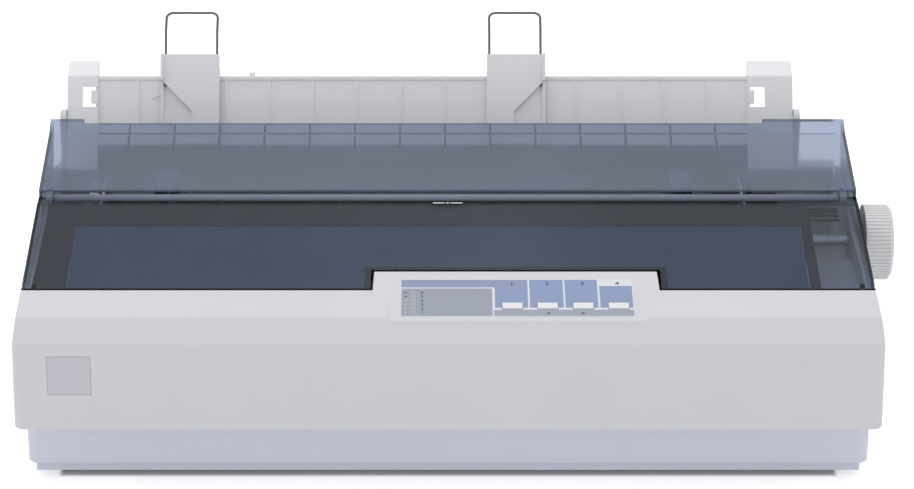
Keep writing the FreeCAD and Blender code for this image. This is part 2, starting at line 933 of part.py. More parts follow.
def frame_screw_places():
    xs = (frame_left + frame_sheet + frame_foot / 2, frame_right - frame_sheet - frame_foot / 2)
    return [(x, y) for x in xs for y in (frame_screw_front, frame_screw_rear)]


def lower_case():
    shape = tray_prism(0, base_bottom, casing_bottom)
    shape = shape.cut(tray_prism(base_wall, frame_bottom, casing_bottom))
    for x, y in case_boss_places():
        shape = shape.fuse(rod_z(base_bottom + base_wall / 2, casing_bottom, x, y, case_boss_radius))
    for x, y in standoff_places() + power_standoff_places():
        shape = shape.fuse(rod_z(frame_bottom - base_wall / 2, main_board_height, x, y, standoff_radius))
    cuts = []
    for x, y in case_boss_places():
        cuts.append(rod_z(base_bottom - overrun, casing_bottom + overrun, x, y, case_screw_radius + fit_gap))
        cuts.append(rod_z(base_bottom - overrun, screw_seat(), x, y, case_screw_head_radius + seat_gap))
    for x, y in foot_places():
        cuts.append(rod_z(base_bottom - overrun, base_bottom + foot_pocket, x, y, foot_radius + fit_gap))
    for x, y in frame_screw_places():
        cuts.append(rod_z(base_bottom + base_wall / 3, frame_bottom + overrun, x, y,
                          frame_screw_radius + fit_gap))
    for i in range(vent_count):
        x = paper_centre + vent_pitch * (i - (vent_count - 1) / 2)
        cuts.append(block(x - vent_width / 2, x + vent_width / 2, platen_back - vent_length / 2,
                          platen_back + vent_length / 2, base_bottom - overrun, frame_bottom + overrun))
    for cut in cuts:
        shape = shape.cut(cut)
    save("lower_case", shape.removeSplitter())


def screw_seat():
    """Height at which the case screws' heads bear."""
    return casing_bottom + case_boss_rise - casing_wall - case_screw_length


def rubber_feet():
    feet = [rod_z(-stand_height, base_bottom + foot_pocket, x, y, foot_radius) for x, y in foot_places()]
    save("rubber_feet", *feet)


def case_screws():
    for x, y in case_boss_places():
        head = rod_z(screw_seat() - case_screw_head_height, screw_seat(), x, y, case_screw_head_radius)
        tip = screw_seat() + case_screw_length - case_screw_radius
        shank = rod_z(screw_seat(), tip, x, y, case_screw_radius)
        slot = block(x - case_screw_radius, x + case_screw_radius,
                     y - case_screw_slot / 2, y + case_screw_slot / 2,
                     0, screw_seat() - case_screw_head_height / 2)
        screws.append(join(head, shank).cut(slot))


# Control panel

def panel_label():
    film = block(-label_left, label_right, label_start, label_start + label_length, 0, label_thickness)
    half_x = button_width / 2 + seat_gap
    half_y = button_length / 2 + seat_gap
    for x in button_places:
        film = film.cut(block(x - half_x, x + half_x,
                              button_slope_place - half_y, button_slope_place + half_y,
                              -overrun, overrun))
    for x, y in led_places():
        film = film.cut(rod_z(-overrun, overrun, x, y, led_radius + fit_gap))
    save("panel_label", on_panel(film))


def panel_board():
    board = block(-board_left, board_right, board_start, board_start + board_length,
                  -board_drop - board_thickness, -board_drop)
    for x, y in board_posts():
        board = board.cut(rod_z(-board_drop - overrun, -board_drop + overrun, x, y,
                                panel_screw_radius + fit_gap))
    for x in button_places:
        half = switch_side / 2
        board = board.fuse(block(x - half, x + half,
                                 button_slope_place - half, button_slope_place + half,
                                 -board_drop, -board_drop + switch_height))
    save("panel_board", on_panel(board))
    for x, y in board_posts():
        seat = -board_drop - board_thickness
        head = rod_z(seat - panel_screw_head_height, seat, x, y, panel_screw_head_radius)
        shank = rod_z(seat, seat + panel_screw_length, x, y, panel_screw_radius)
        screws.append(on_panel(join(head, shank)))


def indicators():
    lamps = [on_panel(rod_z(led_rise - led_length, led_rise + label_thickness, x, y, led_radius))
             for x, y in led_places()]
    save("indicator_lamps", *lamps)


def button(number, x):
    """A cap through the panel, a collar under it that keeps it in, and a stem to its switch."""
    y = button_slope_place
    half_x = button_width / 2
    half_y = button_length / 2
    collar_top = -panel_wall - fit_gap
    cap = block(x - half_x, x + half_x, y - half_y, y + half_y, collar_top, label_thickness + button_rise)
    wide_x, wide_y = half_x + button_collar, half_y + button_collar
    collar = block(x - wide_x, x + wide_x, y - wide_y, y + wide_y, collar_top - button_collar, collar_top)
    stem_x, stem_y = half_x - button_stem_inset, half_y - button_stem_inset
    stem = block(x - stem_x, x + stem_x, y - stem_y, y + stem_y, -button_stem, collar_top)
    save(f"panel_button_{number}", on_panel(join(cap, stem, collar)))


# Smoke covers

def hood_sides(inset):
    low = seam_front_height - overrun
    slope = (deck_half - hood_half) / (flap_rear_height - seam_front_height)
    top = flap_rear_height + overrun
    return mirrored([
        (deck_half + slope * overrun - inset, low),
        (deck_half - slope * (top - seam_front_height) - inset, top),
    ])


def hood_shell(outer, inner, y0, y1):
    """A cover's shell: its outline drawn across, narrowed by the hood's sides, and hollowed."""
    width = casing_half
    shell = prism_x(outer, -width, width).common(prism_y(hood_sides(0), y0 - overrun, y1 + overrun))
    hollow = prism_x(inner, -width, width).common(prism_y(hood_sides(cover_wall), y0 - overrun, y1 + overrun))
    return shell.cut(hollow)


def printer_cover():
    tail = hood_hinge_back + cover_tail
    groove = cover_rear_height - cover_step
    rise = groove + hood_slope * (tail - cover_rear)
    outer = [
        (cover_front, hood_height(cover_front) - cover_wall, cover_front_round),
        (cover_front, cover_front_height, cover_front_round),
        (cover_rear, cover_rear_height, cover_front_round), (cover_rear, groove), (tail, rise),
        (tail, seam_height(tail) + seam_gap), (skirt_front, seam_height(skirt_front) + seam_gap),
        (skirt_front, hood_height(skirt_front) - cover_wall),
    ]
    drop = cover_wall
    inner = [
        (cover_front - overrun, hood_height(cover_front - overrun) - drop),
        (cover_rear - drop, hood_height(cover_rear - drop) - drop),
        (cover_rear, groove - drop), (tail + overrun, rise - drop + hood_slope * overrun),
        (tail + overrun, seam_front_height - overrun), (cover_front - overrun, seam_front_height - overrun),
    ]
    shape = hood_shell(outer, inner, cover_front, tail)
    shape = shape.fuse(rod_x(-bead_left, bead_right, hood_hinge_back, hood_hinge_height, bead_radius))
    ear_low = cover_hinge_height - cover_ear_drop
    ear_front = cover_hinge_back - cover_ear_length / 2
    ear_rear = cover_hinge_back + cover_ear_length / 2
    for side in (-1, 1):
        near = lip_inner - seam_gap - cover_ear_width
        low, high = sorted((side * near, side * (near + cover_ear_width)))
        ear = [
            (ear_front, ear_low, cover_ear_length / 3),
            (ear_rear, ear_low, cover_ear_length / 3),
            (ear_rear, hood_height(ear_rear) - drop / 2),
            (ear_front, hood_height(ear_front) - drop / 2),
        ]
        shape = shape.fuse(prism_x(ear, low, high))
        pin_low, pin_high = sorted((side * near, side * lip_outer))
        shape = shape.fuse(rod_x(pin_low, pin_high, cover_hinge_back, cover_hinge_height,
                                 cover_hinge_pin_radius))
    notch = block(-panel_left - panel_bevel - notch_side_gap, panel_right + panel_bevel + notch_side_gap,
                  cover_front - overrun, panel_rear + notch_gap, panel_skirt_height, cover_rear_height)
    shape = shape.cut(notch)
    for low, high in knuckle_spans():
        clearance = knuckle_radius + seat_gap
        shape = shape.cut(block(low - seat_gap, high + seat_gap, hood_hinge_back - clearance, tail + overrun,
                                hood_hinge_height - clearance, cover_rear_height + overrun))
        shape = shape.fuse(rod_x(low - seat_gap, high + seat_gap, hood_hinge_back, hood_hinge_height,
                                 flap_pin_radius))
    mark_rear = cover_rear - mark_depth
    mark = block(-mark_width / 2, mark_width / 2, mark_rear - mark_depth, mark_rear,
                 hood_height(mark_rear) - drop / 2, hood_height(mark_rear) + mark_height)
    save("printer_cover", shape.fuse(mark).removeSplitter())


def knuckle_spans():
    """Low and high X of the exit flap's two hinge knuckles, outside the cover's barrel."""
    left = -bead_left - knuckle_gap
    right = bead_right + knuckle_gap
    return (left - knuckle_width, left), (right, right + knuckle_width)


def flap_rib_places():
    first = paper_centre - rib_pitch * (flap_rib_count - 1) / 2
    return [first + rib_pitch * i for i in range(flap_rib_count)]


def flap_height(y):
    """Top surface of the exit flap in front of its crease."""
    slope = (flap_crease_height - flap_front_height) / (flap_crease_back - flap_front)
    return flap_front_height + slope * (y - flap_front)


def exit_flap():
    outer = [
        (flap_front, flap_front_height - cover_wall, cover_front_round),
        (flap_front, flap_front_height, cover_front_round),
        (flap_crease_back, flap_crease_height, flap_round), (flap_rear, flap_rear_height),
        (flap_rear, seam_height(flap_rear) + seam_gap),
        (flap_skirt_front, seam_height(flap_skirt_front) + seam_gap),
        (flap_skirt_front, flap_height(flap_skirt_front) - cover_wall),
    ]
    rise = (flap_rear_height - flap_crease_height) / (flap_rear - flap_crease_back)
    inner = [
        (flap_front - overrun, flap_height(flap_front - overrun) - cover_wall),
        (flap_crease_back, flap_crease_height - cover_wall),
        (flap_rear + overrun, flap_rear_height + rise * overrun - cover_wall * math.hypot(1, rise)),
        (flap_rear + overrun, seam_front_height - overrun),
        (flap_front - overrun, seam_front_height - overrun),
    ]
    shape = hood_shell(outer, inner, flap_front, flap_rear)
    for low, high in knuckle_spans():
        knuckle = rod_x(low, high, hood_hinge_back, hood_hinge_height, knuckle_radius)
        arm = [
            (hood_hinge_back, hood_hinge_height - knuckle_radius + cover_wall),
            (flap_front + knuckle_radius, flap_front_height - knuckle_radius),
            (flap_front + knuckle_radius, flap_height(flap_front + knuckle_radius) - cover_wall / 2),
            (flap_front, flap_front_height - cover_wall / 2),
            (hood_hinge_back, hood_hinge_height + knuckle_radius - fit_gap),
        ]
        shape = shape.fuse(knuckle).fuse(prism_x(arm, low, high))
        shape = shape.cut(rod_x(low - overrun, high + overrun, hood_hinge_back, hood_hinge_height,
                                flap_pin_radius + fit_gap))
    rib_end = flap_rear - cover_wall
    rib_start = rib_end - flap_rib_length
    rib = [
        (rib_start, flap_height(rib_start) - cover_wall / 2),
        (rib_start + flap_rib_depth, flap_height(rib_start) - cover_wall - flap_rib_depth),
        (rib_end, flap_crease_height - flap_rib_depth),
        (rib_end, flap_crease_height + rise * (rib_end - flap_crease_back) - cover_wall),
        (flap_crease_back, flap_crease_height - cover_wall / 2),
    ]
    for x in flap_rib_places():
        shape = shape.fuse(prism_x(rib, x - rib_thickness / 2, x + rib_thickness / 2))
    notch = block(-flap_notch_left, flap_notch_right, flap_crease_back, flap_rear + overrun,
                  flap_rear_height - flap_notch_depth, flap_rear_height + overrun)
    save("exit_flap", shape.cut(notch).removeSplitter())


# Paper guide

def on_guide(shape):
    """Place a shape drawn upright, with Y backwards and Z up from the guide's pivot axis."""
    moved = shape.copy()
    moved.rotate(vec(0, 0, 0), vec(1, 0, 0), -guide_lean)
    moved.translate(vec(0, guide_axis_back, guide_axis_height))
    return moved


def guide_cap(low, high, window_side, window_width):
    """One end cap: a shell with its top bent back and a window beside the plate."""
    tip_y = cap_tip_back - cap_front
    tip_z = guide_up + cap_tip_up
    back = cap_depth - cap_front
    outer = [
        (-cap_front, -guide_down), (-cap_front, guide_up, cap_front / 2), (tip_y, tip_z),
        (tip_y + cap_tip_thickness / 2, tip_z - cap_tip_thickness), (back, guide_up + cap_tip_thickness),
        (back, -guide_down),
    ]
    wall = cap_wall
    inner = [
        (-cap_front + wall, -guide_down - overrun), (-cap_front + wall, guide_up - wall / 2),
        (back - wall / 2, guide_up + cap_tip_thickness + wall), (back + overrun, guide_up),
        (back + overrun, -guide_down - overrun),
    ]
    cap = prism_x(outer, low, high).cut(prism_x(inner, low + wall, high - wall))
    start = high - window_width if window_side > 0 else low
    window = block(start, start + window_width, -overrun, cap_wall - cap_front + fit_gap,
                   window_low, window_high)
    tab_start = high - window_tab if window_side > 0 else low
    tab_low = (window_low + window_high - window_tab_height) / 2
    tab = block(tab_start, tab_start + window_tab, -cap_front, 0, tab_low, tab_low + window_tab_height)
    return cap.cut(window).fuse(tab)


def guide_spans():
    """Left cap, plate and right cap, each as low and high X."""
    left = (-guide_left, -guide_left + guide_cap_left_width)
    right = (guide_right - guide_cap_right_width, guide_right)
    return left, (left[1], right[0]), right


def paper_guide():
    left, middle, right = guide_spans()
    shape = block(middle[0], middle[1], 0, guide_plate, -guide_down, guide_up)
    rim = block(middle[0], middle[1], -guide_rib_depth / 2, guide_plate, guide_up - guide_rim, guide_up)
    shape = shape.fuse(rim)
    for x in flap_rib_places():
        shape = shape.fuse(block(x - rib_thickness / 2, x + rib_thickness / 2,
                                 -guide_rib_depth, guide_plate / 2,
                                 -guide_down, guide_up))
    shape = shape.fuse(guide_cap(*left, 1, window_left_width))
    shape = shape.fuse(guide_cap(*right, -1, window_right_width))
    stop = [
        (stop_place - stop_width / 2, guide_up - guide_rim),
        (stop_place + stop_width / 2, guide_up - guide_rim),
        (stop_place + stop_width / 2, guide_up + stop_height), (stop_place, guide_up + stop_height / 2),
        (stop_place - stop_width / 2, guide_up + stop_height),
    ]
    shape = shape.fuse(prism_y(stop, 0, guide_plate))
    arrow = [(arrow_left, arrow_up), (arrow_left + arrow_length, arrow_up + arrow_height / 2),
             (arrow_left, arrow_up + arrow_height)]
    shape = shape.fuse(prism_y(arrow, -arrow_relief, guide_plate / 2))
    reach = seam_gap + post_thickness
    for low, high in ((left[0] - reach, left[0] + cap_wall), (right[1] - cap_wall, right[1] + reach)):
        shape = shape.fuse(rod_x(low, high, 0, 0, guide_pin_radius))
    save("paper_guide", on_guide(shape.removeSplitter()))


def wire_legs(middle, side):
    """X of the two legs of a wire support; side is -1 where the guide's lip is on the left."""
    first = middle + side * (edge_width / 2 - wire_inset)
    return first, first - side * wire_span


def edge_guide(name, middle, side):
    """A sliding edge guide: a front plate, a hook over the guide's top and a lip at its outer edge."""
    front = -guide_rib_depth - edge_gap - edge_thickness
    back = -guide_rib_depth - edge_gap
    low = middle - edge_width / 2
    high = middle + edge_width / 2
    shape = block(low, high, front, back, -edge_bottom, edge_top)
    bridge_low = guide_up + stop_height + edge_gap
    bridge_high = bridge_low + edge_hook_thickness
    hook_front = guide_plate + edge_gap
    hook_back = hook_front + edge_hook_thickness
    shape = shape.fuse(block(low, high, back - edge_gap, hook_back, bridge_low, bridge_high))
    shape = shape.fuse(block(low, high, hook_front, hook_back, bridge_low - edge_hook_drop, bridge_high))
    outer = middle + side * edge_width / 2
    lip_low, lip_high = sorted((outer, outer - side * edge_lip))
    shape = shape.fuse(block(lip_low, lip_high, front - edge_lip_depth, back, edge_lip_bottom, edge_top))
    near = outer - side * edge_lip
    far = outer - side * edge_relief_width
    relief = [(near, edge_relief_top), (far, edge_relief_turn), (far, -edge_bottom - overrun),
              (near, -edge_bottom - overrun)]
    shape = shape.cut(prism_y(relief, front - overrun, front + edge_relief))
    leg_y = (front + back) / 2
    for x in wire_legs(middle, side):
        shape = shape.cut(rod_z(wire_hole_bottom, edge_top + overrun, x, leg_y, wire_radius + wire_clearance))
    save(name, on_guide(shape.removeSplitter()))


def wire_support(name, middle, side):
    """A steel wire loop: two legs, a backward bend and a top bar with rounded corners."""
    lean = math.radians(guide_lean)
    y = wire_depth
    back = wire_back * math.cos(lean) - wire_rise * math.sin(lean)
    rise = wire_back * math.sin(lean) + wire_rise * math.cos(lean)
    xs = sorted(wire_legs(middle, side))
    points = [
        vec(xs[0], y, wire_foot), vec(xs[0], y, wire_kink), vec(xs[0], y + back, wire_kink + rise),
        vec(xs[1], y + back, wire_kink + rise), vec(xs[1], y, wire_kink), vec(xs[1], y, wire_foot),
    ]
    edges = []
    last = points[0]
    for before, here, after in zip(points, points[1:], points[2:]):
        come = (here - before).normalize()
        go = (after - here).normalize()
        turn = come.getAngle(go)
        reach = wire_corner * math.tan(turn / 2)
        middle_point = here + (go - come).normalize() * (wire_corner / math.cos(turn / 2) - wire_corner)
        first = here - come * reach
        edges.append(Part.makeLine(last, first))
        last = here + go * reach
        edges.append(Part.Arc(first, middle_point, last).toShape())
    edges.append(Part.makeLine(last, points[-1]))
    path = Part.Wire(edges)
    section = Part.Wire(Part.makeCircle(wire_radius, points[0], vec(0, 0, 1)))
    save(name, on_guide(path.makePipeShell([section], True, False)))


# Mechanism frame

def frame_outline():
    return [
        (frame_front, frame_bottom), (frame_rear, frame_bottom), (frame_rear, frame_top, frame_corner),
        (frame_step_back + frame_sheet, frame_top, frame_corner), (frame_step_back, frame_step),
        (frame_front, frame_step, frame_corner),
    ]


def frame_holes(x0, x1, motor):
    """The shafts' and bushes' holes through a side plate."""
    holes = [
        rod_x(x0, x1, platen_back, platen_height, bush_radius + fit_gap),
        rod_x(x0, x1, carriage_back, carriage_height, carriage_shaft_radius + fit_gap),
        rod_x(x0, x1, guide_shaft_back, platen_height, guide_shaft_radius + fit_gap),
        rod_x(x0, x1, tractor_back(), platen_height, drive_journal_radius + fit_gap),
        rod_x(x0, x1, *pressure_axis(), pressure_shaft_radius + fit_gap),
    ]
    if motor:
        holes.append(rod_x(x0, x1, *pinion_axis(), motor_boss_radius + fit_gap))
    return holes


def side_frame(name, outer, inward, motor, fittings):
    """A steel side plate with a foot flange turned inwards, and what is riveted to it."""
    inner = outer + inward * frame_sheet
    low, high = sorted((outer, inner))
    plate = prism_x(frame_outline(), low, high)
    foot_low, foot_high = sorted((inner, inner + inward * frame_foot))
    foot = block(foot_low, foot_high, frame_front, frame_rear, frame_bottom, frame_bottom + frame_sheet)
    shape = plate.fuse(foot)
    for hole in frame_holes(low - overrun, high + overrun, motor):
        shape = shape.cut(hole)
    for x, y in frame_screw_places():
        shape = shape.cut(rod_z(0, frame_bottom + frame_sheet + overrun, x, y, frame_screw_radius + fit_gap))
    for solid in fittings:
        shape = shape.fuse(solid)
    save(name, shape.removeSplitter())


def frame_beams():
    inner_left = frame_left + frame_sheet
    inner_right = frame_right - frame_sheet
    web = block(inner_left, inner_right, front_beam_back, front_beam_back + beam_sheet,
                front_beam_bottom, rail_height)
    rail = block(inner_left, inner_right, front_beam_back, front_beam_back + rail_width,
                 rail_height - beam_sheet, rail_height)
    front_rail = join(web, rail)
    back_web = block(inner_left, inner_right, rear_beam_back, rear_beam_back + beam_sheet,
                     rear_beam_bottom, rear_beam_top)
    low = block(inner_left, inner_right, rear_beam_back, rear_beam_back + rear_beam_flange,
                rear_beam_bottom, rear_beam_bottom + beam_sheet)
    high = block(inner_left, inner_right, rear_beam_back, rear_beam_back + rear_beam_flange,
                 rear_beam_top - beam_sheet, rear_beam_top)
    save("cross_beams", front_rail, join(back_web, low, high))


def frame_screws():
    for x, y in frame_screw_places():
        seat = frame_bottom + frame_sheet
        head = rod_z(seat, seat + frame_screw_head_height, x, y, frame_screw_head_radius)
        shank = rod_z(base_bottom + base_wall / 2, seat, x, y, frame_screw_radius)
        screws.append(join(head, shank))


# Gears

def pitch_radius(teeth):
    return gear_module * teeth / 2


def apart(first, second):
    """Distance between the axes of two meshed gears."""
    return pitch_radius(first) + pitch_radius(second)


def away(axis, distance, angle):
    """The point (y, z) at a distance and angle from another."""
    turn = math.radians(angle)
    return axis[0] + distance * math.cos(turn), axis[1] + distance * math.sin(turn)


def platen_axis():
    return platen_back, platen_height


def reduction_axis():
    return away(platen_axis(), apart(platen_teeth, small_teeth), reduction_angle)


def pinion_axis():
    return away(reduction_axis(), apart(large_teeth, pinion_teeth), pinion_angle)


def idler_axis():
    return away(platen_axis(), apart(platen_teeth, idler_teeth), 0)


def tractor_back():
    return away(idler_axis(), apart(idler_teeth, tractor_teeth), 0)[0]


def pressure_axis():
    return away(platen_axis(), platen_radius + pressure_radius + seat_gap, pressure_angle)


def mesh_phase(teeth, phase, other_teeth, angle):
    """Turn of a gear that meshes with another gear, whose tooth stands at its phase."""
    share = ((angle - phase) / (360 / teeth)) % 1
    return angle + 180 + (share + 0.5) * 360 / other_teeth


def gear(teeth, phase, axis, x0, bore):
    """A spur gear about an axis along X, with one tooth centred at its phase."""
    pitch = pitch_radius(teeth)
    base = pitch * math.cos(math.radians(pressure_side_angle))
    tip = pitch + gear_module
    root = pitch - 1.25 * gear_module
    half_tooth = (math.pi * gear_module / 2 - gear_backlash) / (2 * pitch)

    def half_width(radius):
        roll = math.acos(min(1, base / radius))
        flank = math.radians(pressure_side_angle)
        return half_tooth + (math.tan(flank) - flank) - (math.tan(roll) - roll)

    low = max(base, root)
    steps = [root] + [low + (tip - low) * i / 4 for i in range(5)]
    points = []
    for i in range(teeth):
        centre = math.radians(phase) + 2 * math.pi * i / teeth
        rising = [(r, centre - half_width(max(r, low))) for r in steps]
        falling = [(r, centre + half_width(max(r, low))) for r in reversed(steps)]
        points += [vec(x0, axis[0] + r * math.cos(a), axis[1] + r * math.sin(a)) for r, a in rising + falling]
    outline = [points[0]]
    for point in points[1:]:
        if point.distanceToPoint(outline[-1]) > shortest_edge:
            outline.append(point)
    solid = Part.Face(Part.makePolygon(outline + [outline[0]])).extrude(vec(gear_width, 0, 0))
    return solid.cut(rod_x(x0 - overrun, x0 + gear_width + overrun, *axis, bore))


def gear_planes():
    """Left faces of the gears beside the frame, and of those outside them."""
    near = frame_left - bush_flange - gear_gap - gear_width
    return near, near - gear_gap - gear_width


def platen_phase():
    return 0


def gear_train():
    near, far = gear_planes()
    save("platen_gear", gear(platen_teeth, platen_phase(), platen_axis(), near,
                             platen_shaft_radius + fit_gap / 5))
    small_phase = mesh_phase(platen_teeth, platen_phase(), small_teeth, reduction_angle)
    small = gear(small_teeth, small_phase, reduction_axis(), near, stud_radius + fit_gap)
    large = gear(large_teeth, small_phase, reduction_axis(), far, stud_radius + fit_gap)
    hub = rod_x(far + gear_width, near, *reduction_axis(), pitch_radius(small_teeth) - 2 * gear_module)
    hub = hub.cut(rod_x(far, near + gear_width, *reduction_axis(), stud_radius + fit_gap))
    save("reduction_gear", join(small, hub, large))
    pinion_phase = mesh_phase(large_teeth, small_phase, pinion_teeth, pinion_angle)
    pinion = gear(pinion_teeth, pinion_phase, pinion_axis(), far, motor_shaft_radius / 2)
    shaft_end = frame_left + frame_sheet + motor_length - 2 * frame_sheet
    save("motor_pinion", join(pinion, rod_x(far, shaft_end, *pinion_axis(), motor_shaft_radius)))
    idler_phase = mesh_phase(platen_teeth, platen_phase(), idler_teeth, 0)
    save("idler_gear", gear(idler_teeth, idler_phase, idler_axis(), near, stud_radius + fit_gap))
    tractor_phase = mesh_phase(idler_teeth, idler_phase, tractor_teeth, 0)
    return gear(tractor_teeth, tractor_phase, (tractor_back(), platen_height), near, drive_journal_radius / 2)


def gear_studs():
    """Fixed studs that carry the reduction gear and the idler gear."""
    near, far = gear_planes()
    inner = frame_left + frame_sheet
    return [rod_x(far, inner, *reduction_axis(), stud_radius), rod_x(near, inner, *idler_axis(), stud_radius)]


# Platen

def platen():
    near = gear_planes()[0]
    shaft_end = knob_start + knob_shaft_reach
    shaft = rod_x(near, shaft_end, *platen_axis(), platen_shaft_radius)
    core_radius = platen_radius - platen_rubber
    core = rod_x(platen_left, platen_right, *platen_axis(), core_radius)
    disc = 4 * platen_core_wall
    hollow = rod_x(platen_left + disc, platen_right - disc, *platen_axis(), core_radius - platen_core_wall)
    save("platen_shaft", join(shaft, core.cut(hollow)))
    sleeve = rod_x(platen_left, platen_right, *platen_axis(), platen_radius)
    save("platen_roller", sleeve.cut(rod_x(platen_left, platen_right, *platen_axis(), core_radius)))


def platen_bushes():
    bushes = []
    for outer, inward in ((frame_left, 1), (frame_right, -1)):
        start, end = sorted((outer - inward * bush_flange, outer + inward * frame_sheet))
        flange_start, flange_end = sorted((outer - inward * bush_flange, outer))
        bush = rod_x(start, end, *platen_axis(), bush_radius)
        bush = join(bush, rod_x(flange_start, flange_end, *platen_axis(), bush_flange_radius))
        bushes.append(bush.cut(rod_x(start - overrun, end + overrun, *platen_axis(),
                                     platen_shaft_radius + fit_gap)))
    save("platen_bushes", *bushes)


def platen_knob():
    """A hand knob with fine ribs along its rim and a shallow cap in its end."""
    def place(angle, radius):
        return vec(knob_start, platen_back + radius * math.cos(angle),
                   platen_height + radius * math.sin(angle))

    step = 2 * math.pi / knob_ribs
    points = []
    valley = knob_radius - knob_rib_depth
    for i in range(knob_ribs):
        points += [place(step * i, knob_radius), place(step * (i + knob_rib_share), knob_radius),
                   place(step * (i + knob_rib_share + knob_flank_share), valley),
                   place(step * (i + 1 - knob_flank_share), valley)]
    rim = Part.Face(Part.makePolygon(points + [points[0]])).extrude(vec(knob_end - knob_start, 0, 0))
    profile = [
        vec(knob_start, platen_back, platen_height),
        vec(knob_start, platen_back + knob_radius, platen_height),
        vec(knob_end - knob_round, platen_back + knob_radius, platen_height),
        vec(knob_end, platen_back + knob_radius - knob_round, platen_height),
        vec(knob_end, platen_back, platen_height),
    ]
    turned = Part.Face(Part.makePolygon(profile + [profile[0]]))
    body = turned.revolve(vec(knob_start, platen_back, platen_height), vec(1, 0, 0), 360)
    shape = rim.common(body)
    shape = shape.cut(rod_x(knob_end - knob_cap_depth, knob_end + overrun, *platen_axis(), knob_cap_radius))
    shape = shape.cut(rod_x(knob_start - overrun, knob_start + knob_shaft_reach, *platen_axis(),
                            platen_shaft_radius + fit_gap / 5))
    save("platen_knob", shape)


def pressure_rollers():
    y, z = pressure_axis()
    width = platen_right - platen_left
    middle = (platen_right + platen_left) / 2
    shape = rod_x(frame_left, frame_right, y, z, pressure_shaft_radius)
    for share in pressure_places_shares:
        x = middle + share * width
        shape = shape.fuse(rod_x(x - pressure_length / 2, x + pressure_length / 2, y, z, pressure_radius))
    save("pressure_rollers", shape)


def paper_pan():
    """A curved steel sheet under the platen, open where the pressure rollers reach it."""
    outer = platen_radius + pan_gap + pan_sheet
    inner = platen_radius + pan_gap
    length = frame_right - frame_left - 2 * frame_sheet
    start = vec(frame_left + frame_sheet, platen_back, platen_height)
    tube = Part.makeCylinder(outer, length, start, vec(1, 0, 0)).cut(
        Part.makeCylinder(inner, length, start, vec(1, 0, 0)))
    reach = 2 * outer
    corners = [platen_axis()]
    for i in range(4):
        corners.append(away(platen_axis(), reach, pan_start_angle + pan_sweep_angle * i / 3))
    pan = tube.common(prism_x(corners, frame_left, frame_right))
    y, z = pressure_axis()
    for share in pressure_places_shares:
        x = (platen_right + platen_left) / 2 + share * (platen_right - platen_left)
        half = pressure_length / 2 + pressure_window_gap
        pan = pan.cut(rod_x(x - half, x + half, y, z, pressure_radius + pressure_window_gap))
    save("paper_pan", pan)


# Tractors

def tractor_frame_solid(x):
    profile = [
        (tractor_front, platen_height - tractor_down), (tractor_rear, platen_height - tractor_down),
        (tractor_rear, platen_height + tractor_up), (tractor_front, platen_height + tractor_up),
    ]
    body = prism_x(profile, x - tractor_half, x + tractor_half, tractor_corner)
    body = body.cut(block(x - tractor_slot_half, x + tractor_slot_half, tractor_slot_front,
                          tractor_rear + overrun, platen_height - tractor_down - overrun,
                          platen_height + tractor_up + overrun))
    body = body.cut(rod_x(x - 2 * tractor_half, x + 2 * tractor_half, guide_shaft_back, platen_height,
                          guide_shaft_radius + fit_gap))
    diagonal = drive_square / math.sqrt(2)
    return body.cut(rod_x(x - 2 * tractor_half, x + 2 * tractor_half, tractor_back(), platen_height,
                          diagonal + seat_gap))


def lock_ears(x):
    """Two ears on the tractor's front that hold the lock lever's pin."""
    ears = []
    z = platen_height + lock_axis_up
    y = tractor_front - lock_axis_front
    for low in (x - lock_width / 2 - seat_gap - lock_ear, x + lock_width / 2 + seat_gap):
        ear = [(y, z - lock_hub_radius), (tractor_front + lock_ear, z - lock_hub_radius),
               (tractor_front + lock_ear, z + lock_hub_radius), (y, z + lock_hub_radius)]
        shape = prism_x(ear, low, low + lock_ear).fuse(rod_x(low, low + lock_ear, y, z, lock_hub_radius))
        hole = rod_x(low - overrun, low + lock_ear + overrun, y, z, lock_pin_radius + fit_gap)
        ears.append(shape.cut(hole))
    return ears


def lid_hinge(x, out):
    return x + out * (tractor_half + lid_hinge_out), platen_height + tractor_up


def tractor(side_name, x, out):
    """A tractor: frame, sprocket wheel, hinged lid and lock lever; out is its outer side."""
    body = tractor_frame_solid(x)
    for ear in lock_ears(x):
        body = body.fuse(ear)
    hinge_x, hinge_z = lid_hinge(x, out)
    third = (tractor_rear - lid_front) / 3
    front_end = lid_front + third - seat_gap
    rear_start = tractor_rear - third + seat_gap
    for y0, y1 in ((lid_front, front_end), (rear_start, tractor_rear)):
        knuckle = rod_y(y0, y1, hinge_x, hinge_z, lid_knuckle_radius)
        low, high = sorted((x + out * (tractor_half - lid_knuckle_radius), hinge_x))
        arm = block(low, high, y0, y1, hinge_z - lid_knuckle_radius, hinge_z)
        body = body.fuse(knuckle).fuse(arm)
    pin_hole = rod_y(lid_front - overrun, tractor_rear + overrun, hinge_x, hinge_z, lid_pin_radius + fit_gap)
    body = body.cut(pin_hole)
    lid_pin = rod_y(lid_front, tractor_rear, hinge_x, hinge_z, lid_pin_radius)
    lock_reach = lock_width / 2 + seat_gap + lock_ear
    lock_pin = rod_x(x - lock_reach, x + lock_reach, tractor_front - lock_axis_front,
                     platen_height + lock_axis_up, lock_pin_radius)
    save(f"{side_name}_tractor", body.removeSplitter(), lid_pin, lock_pin)
    save(f"{side_name}_sprocket", sprocket(x))
    save(f"{side_name}_tractor_lid", tractor_lid(x, out, third))
    save(f"{side_name}_lock_lever", lock_lever(x))


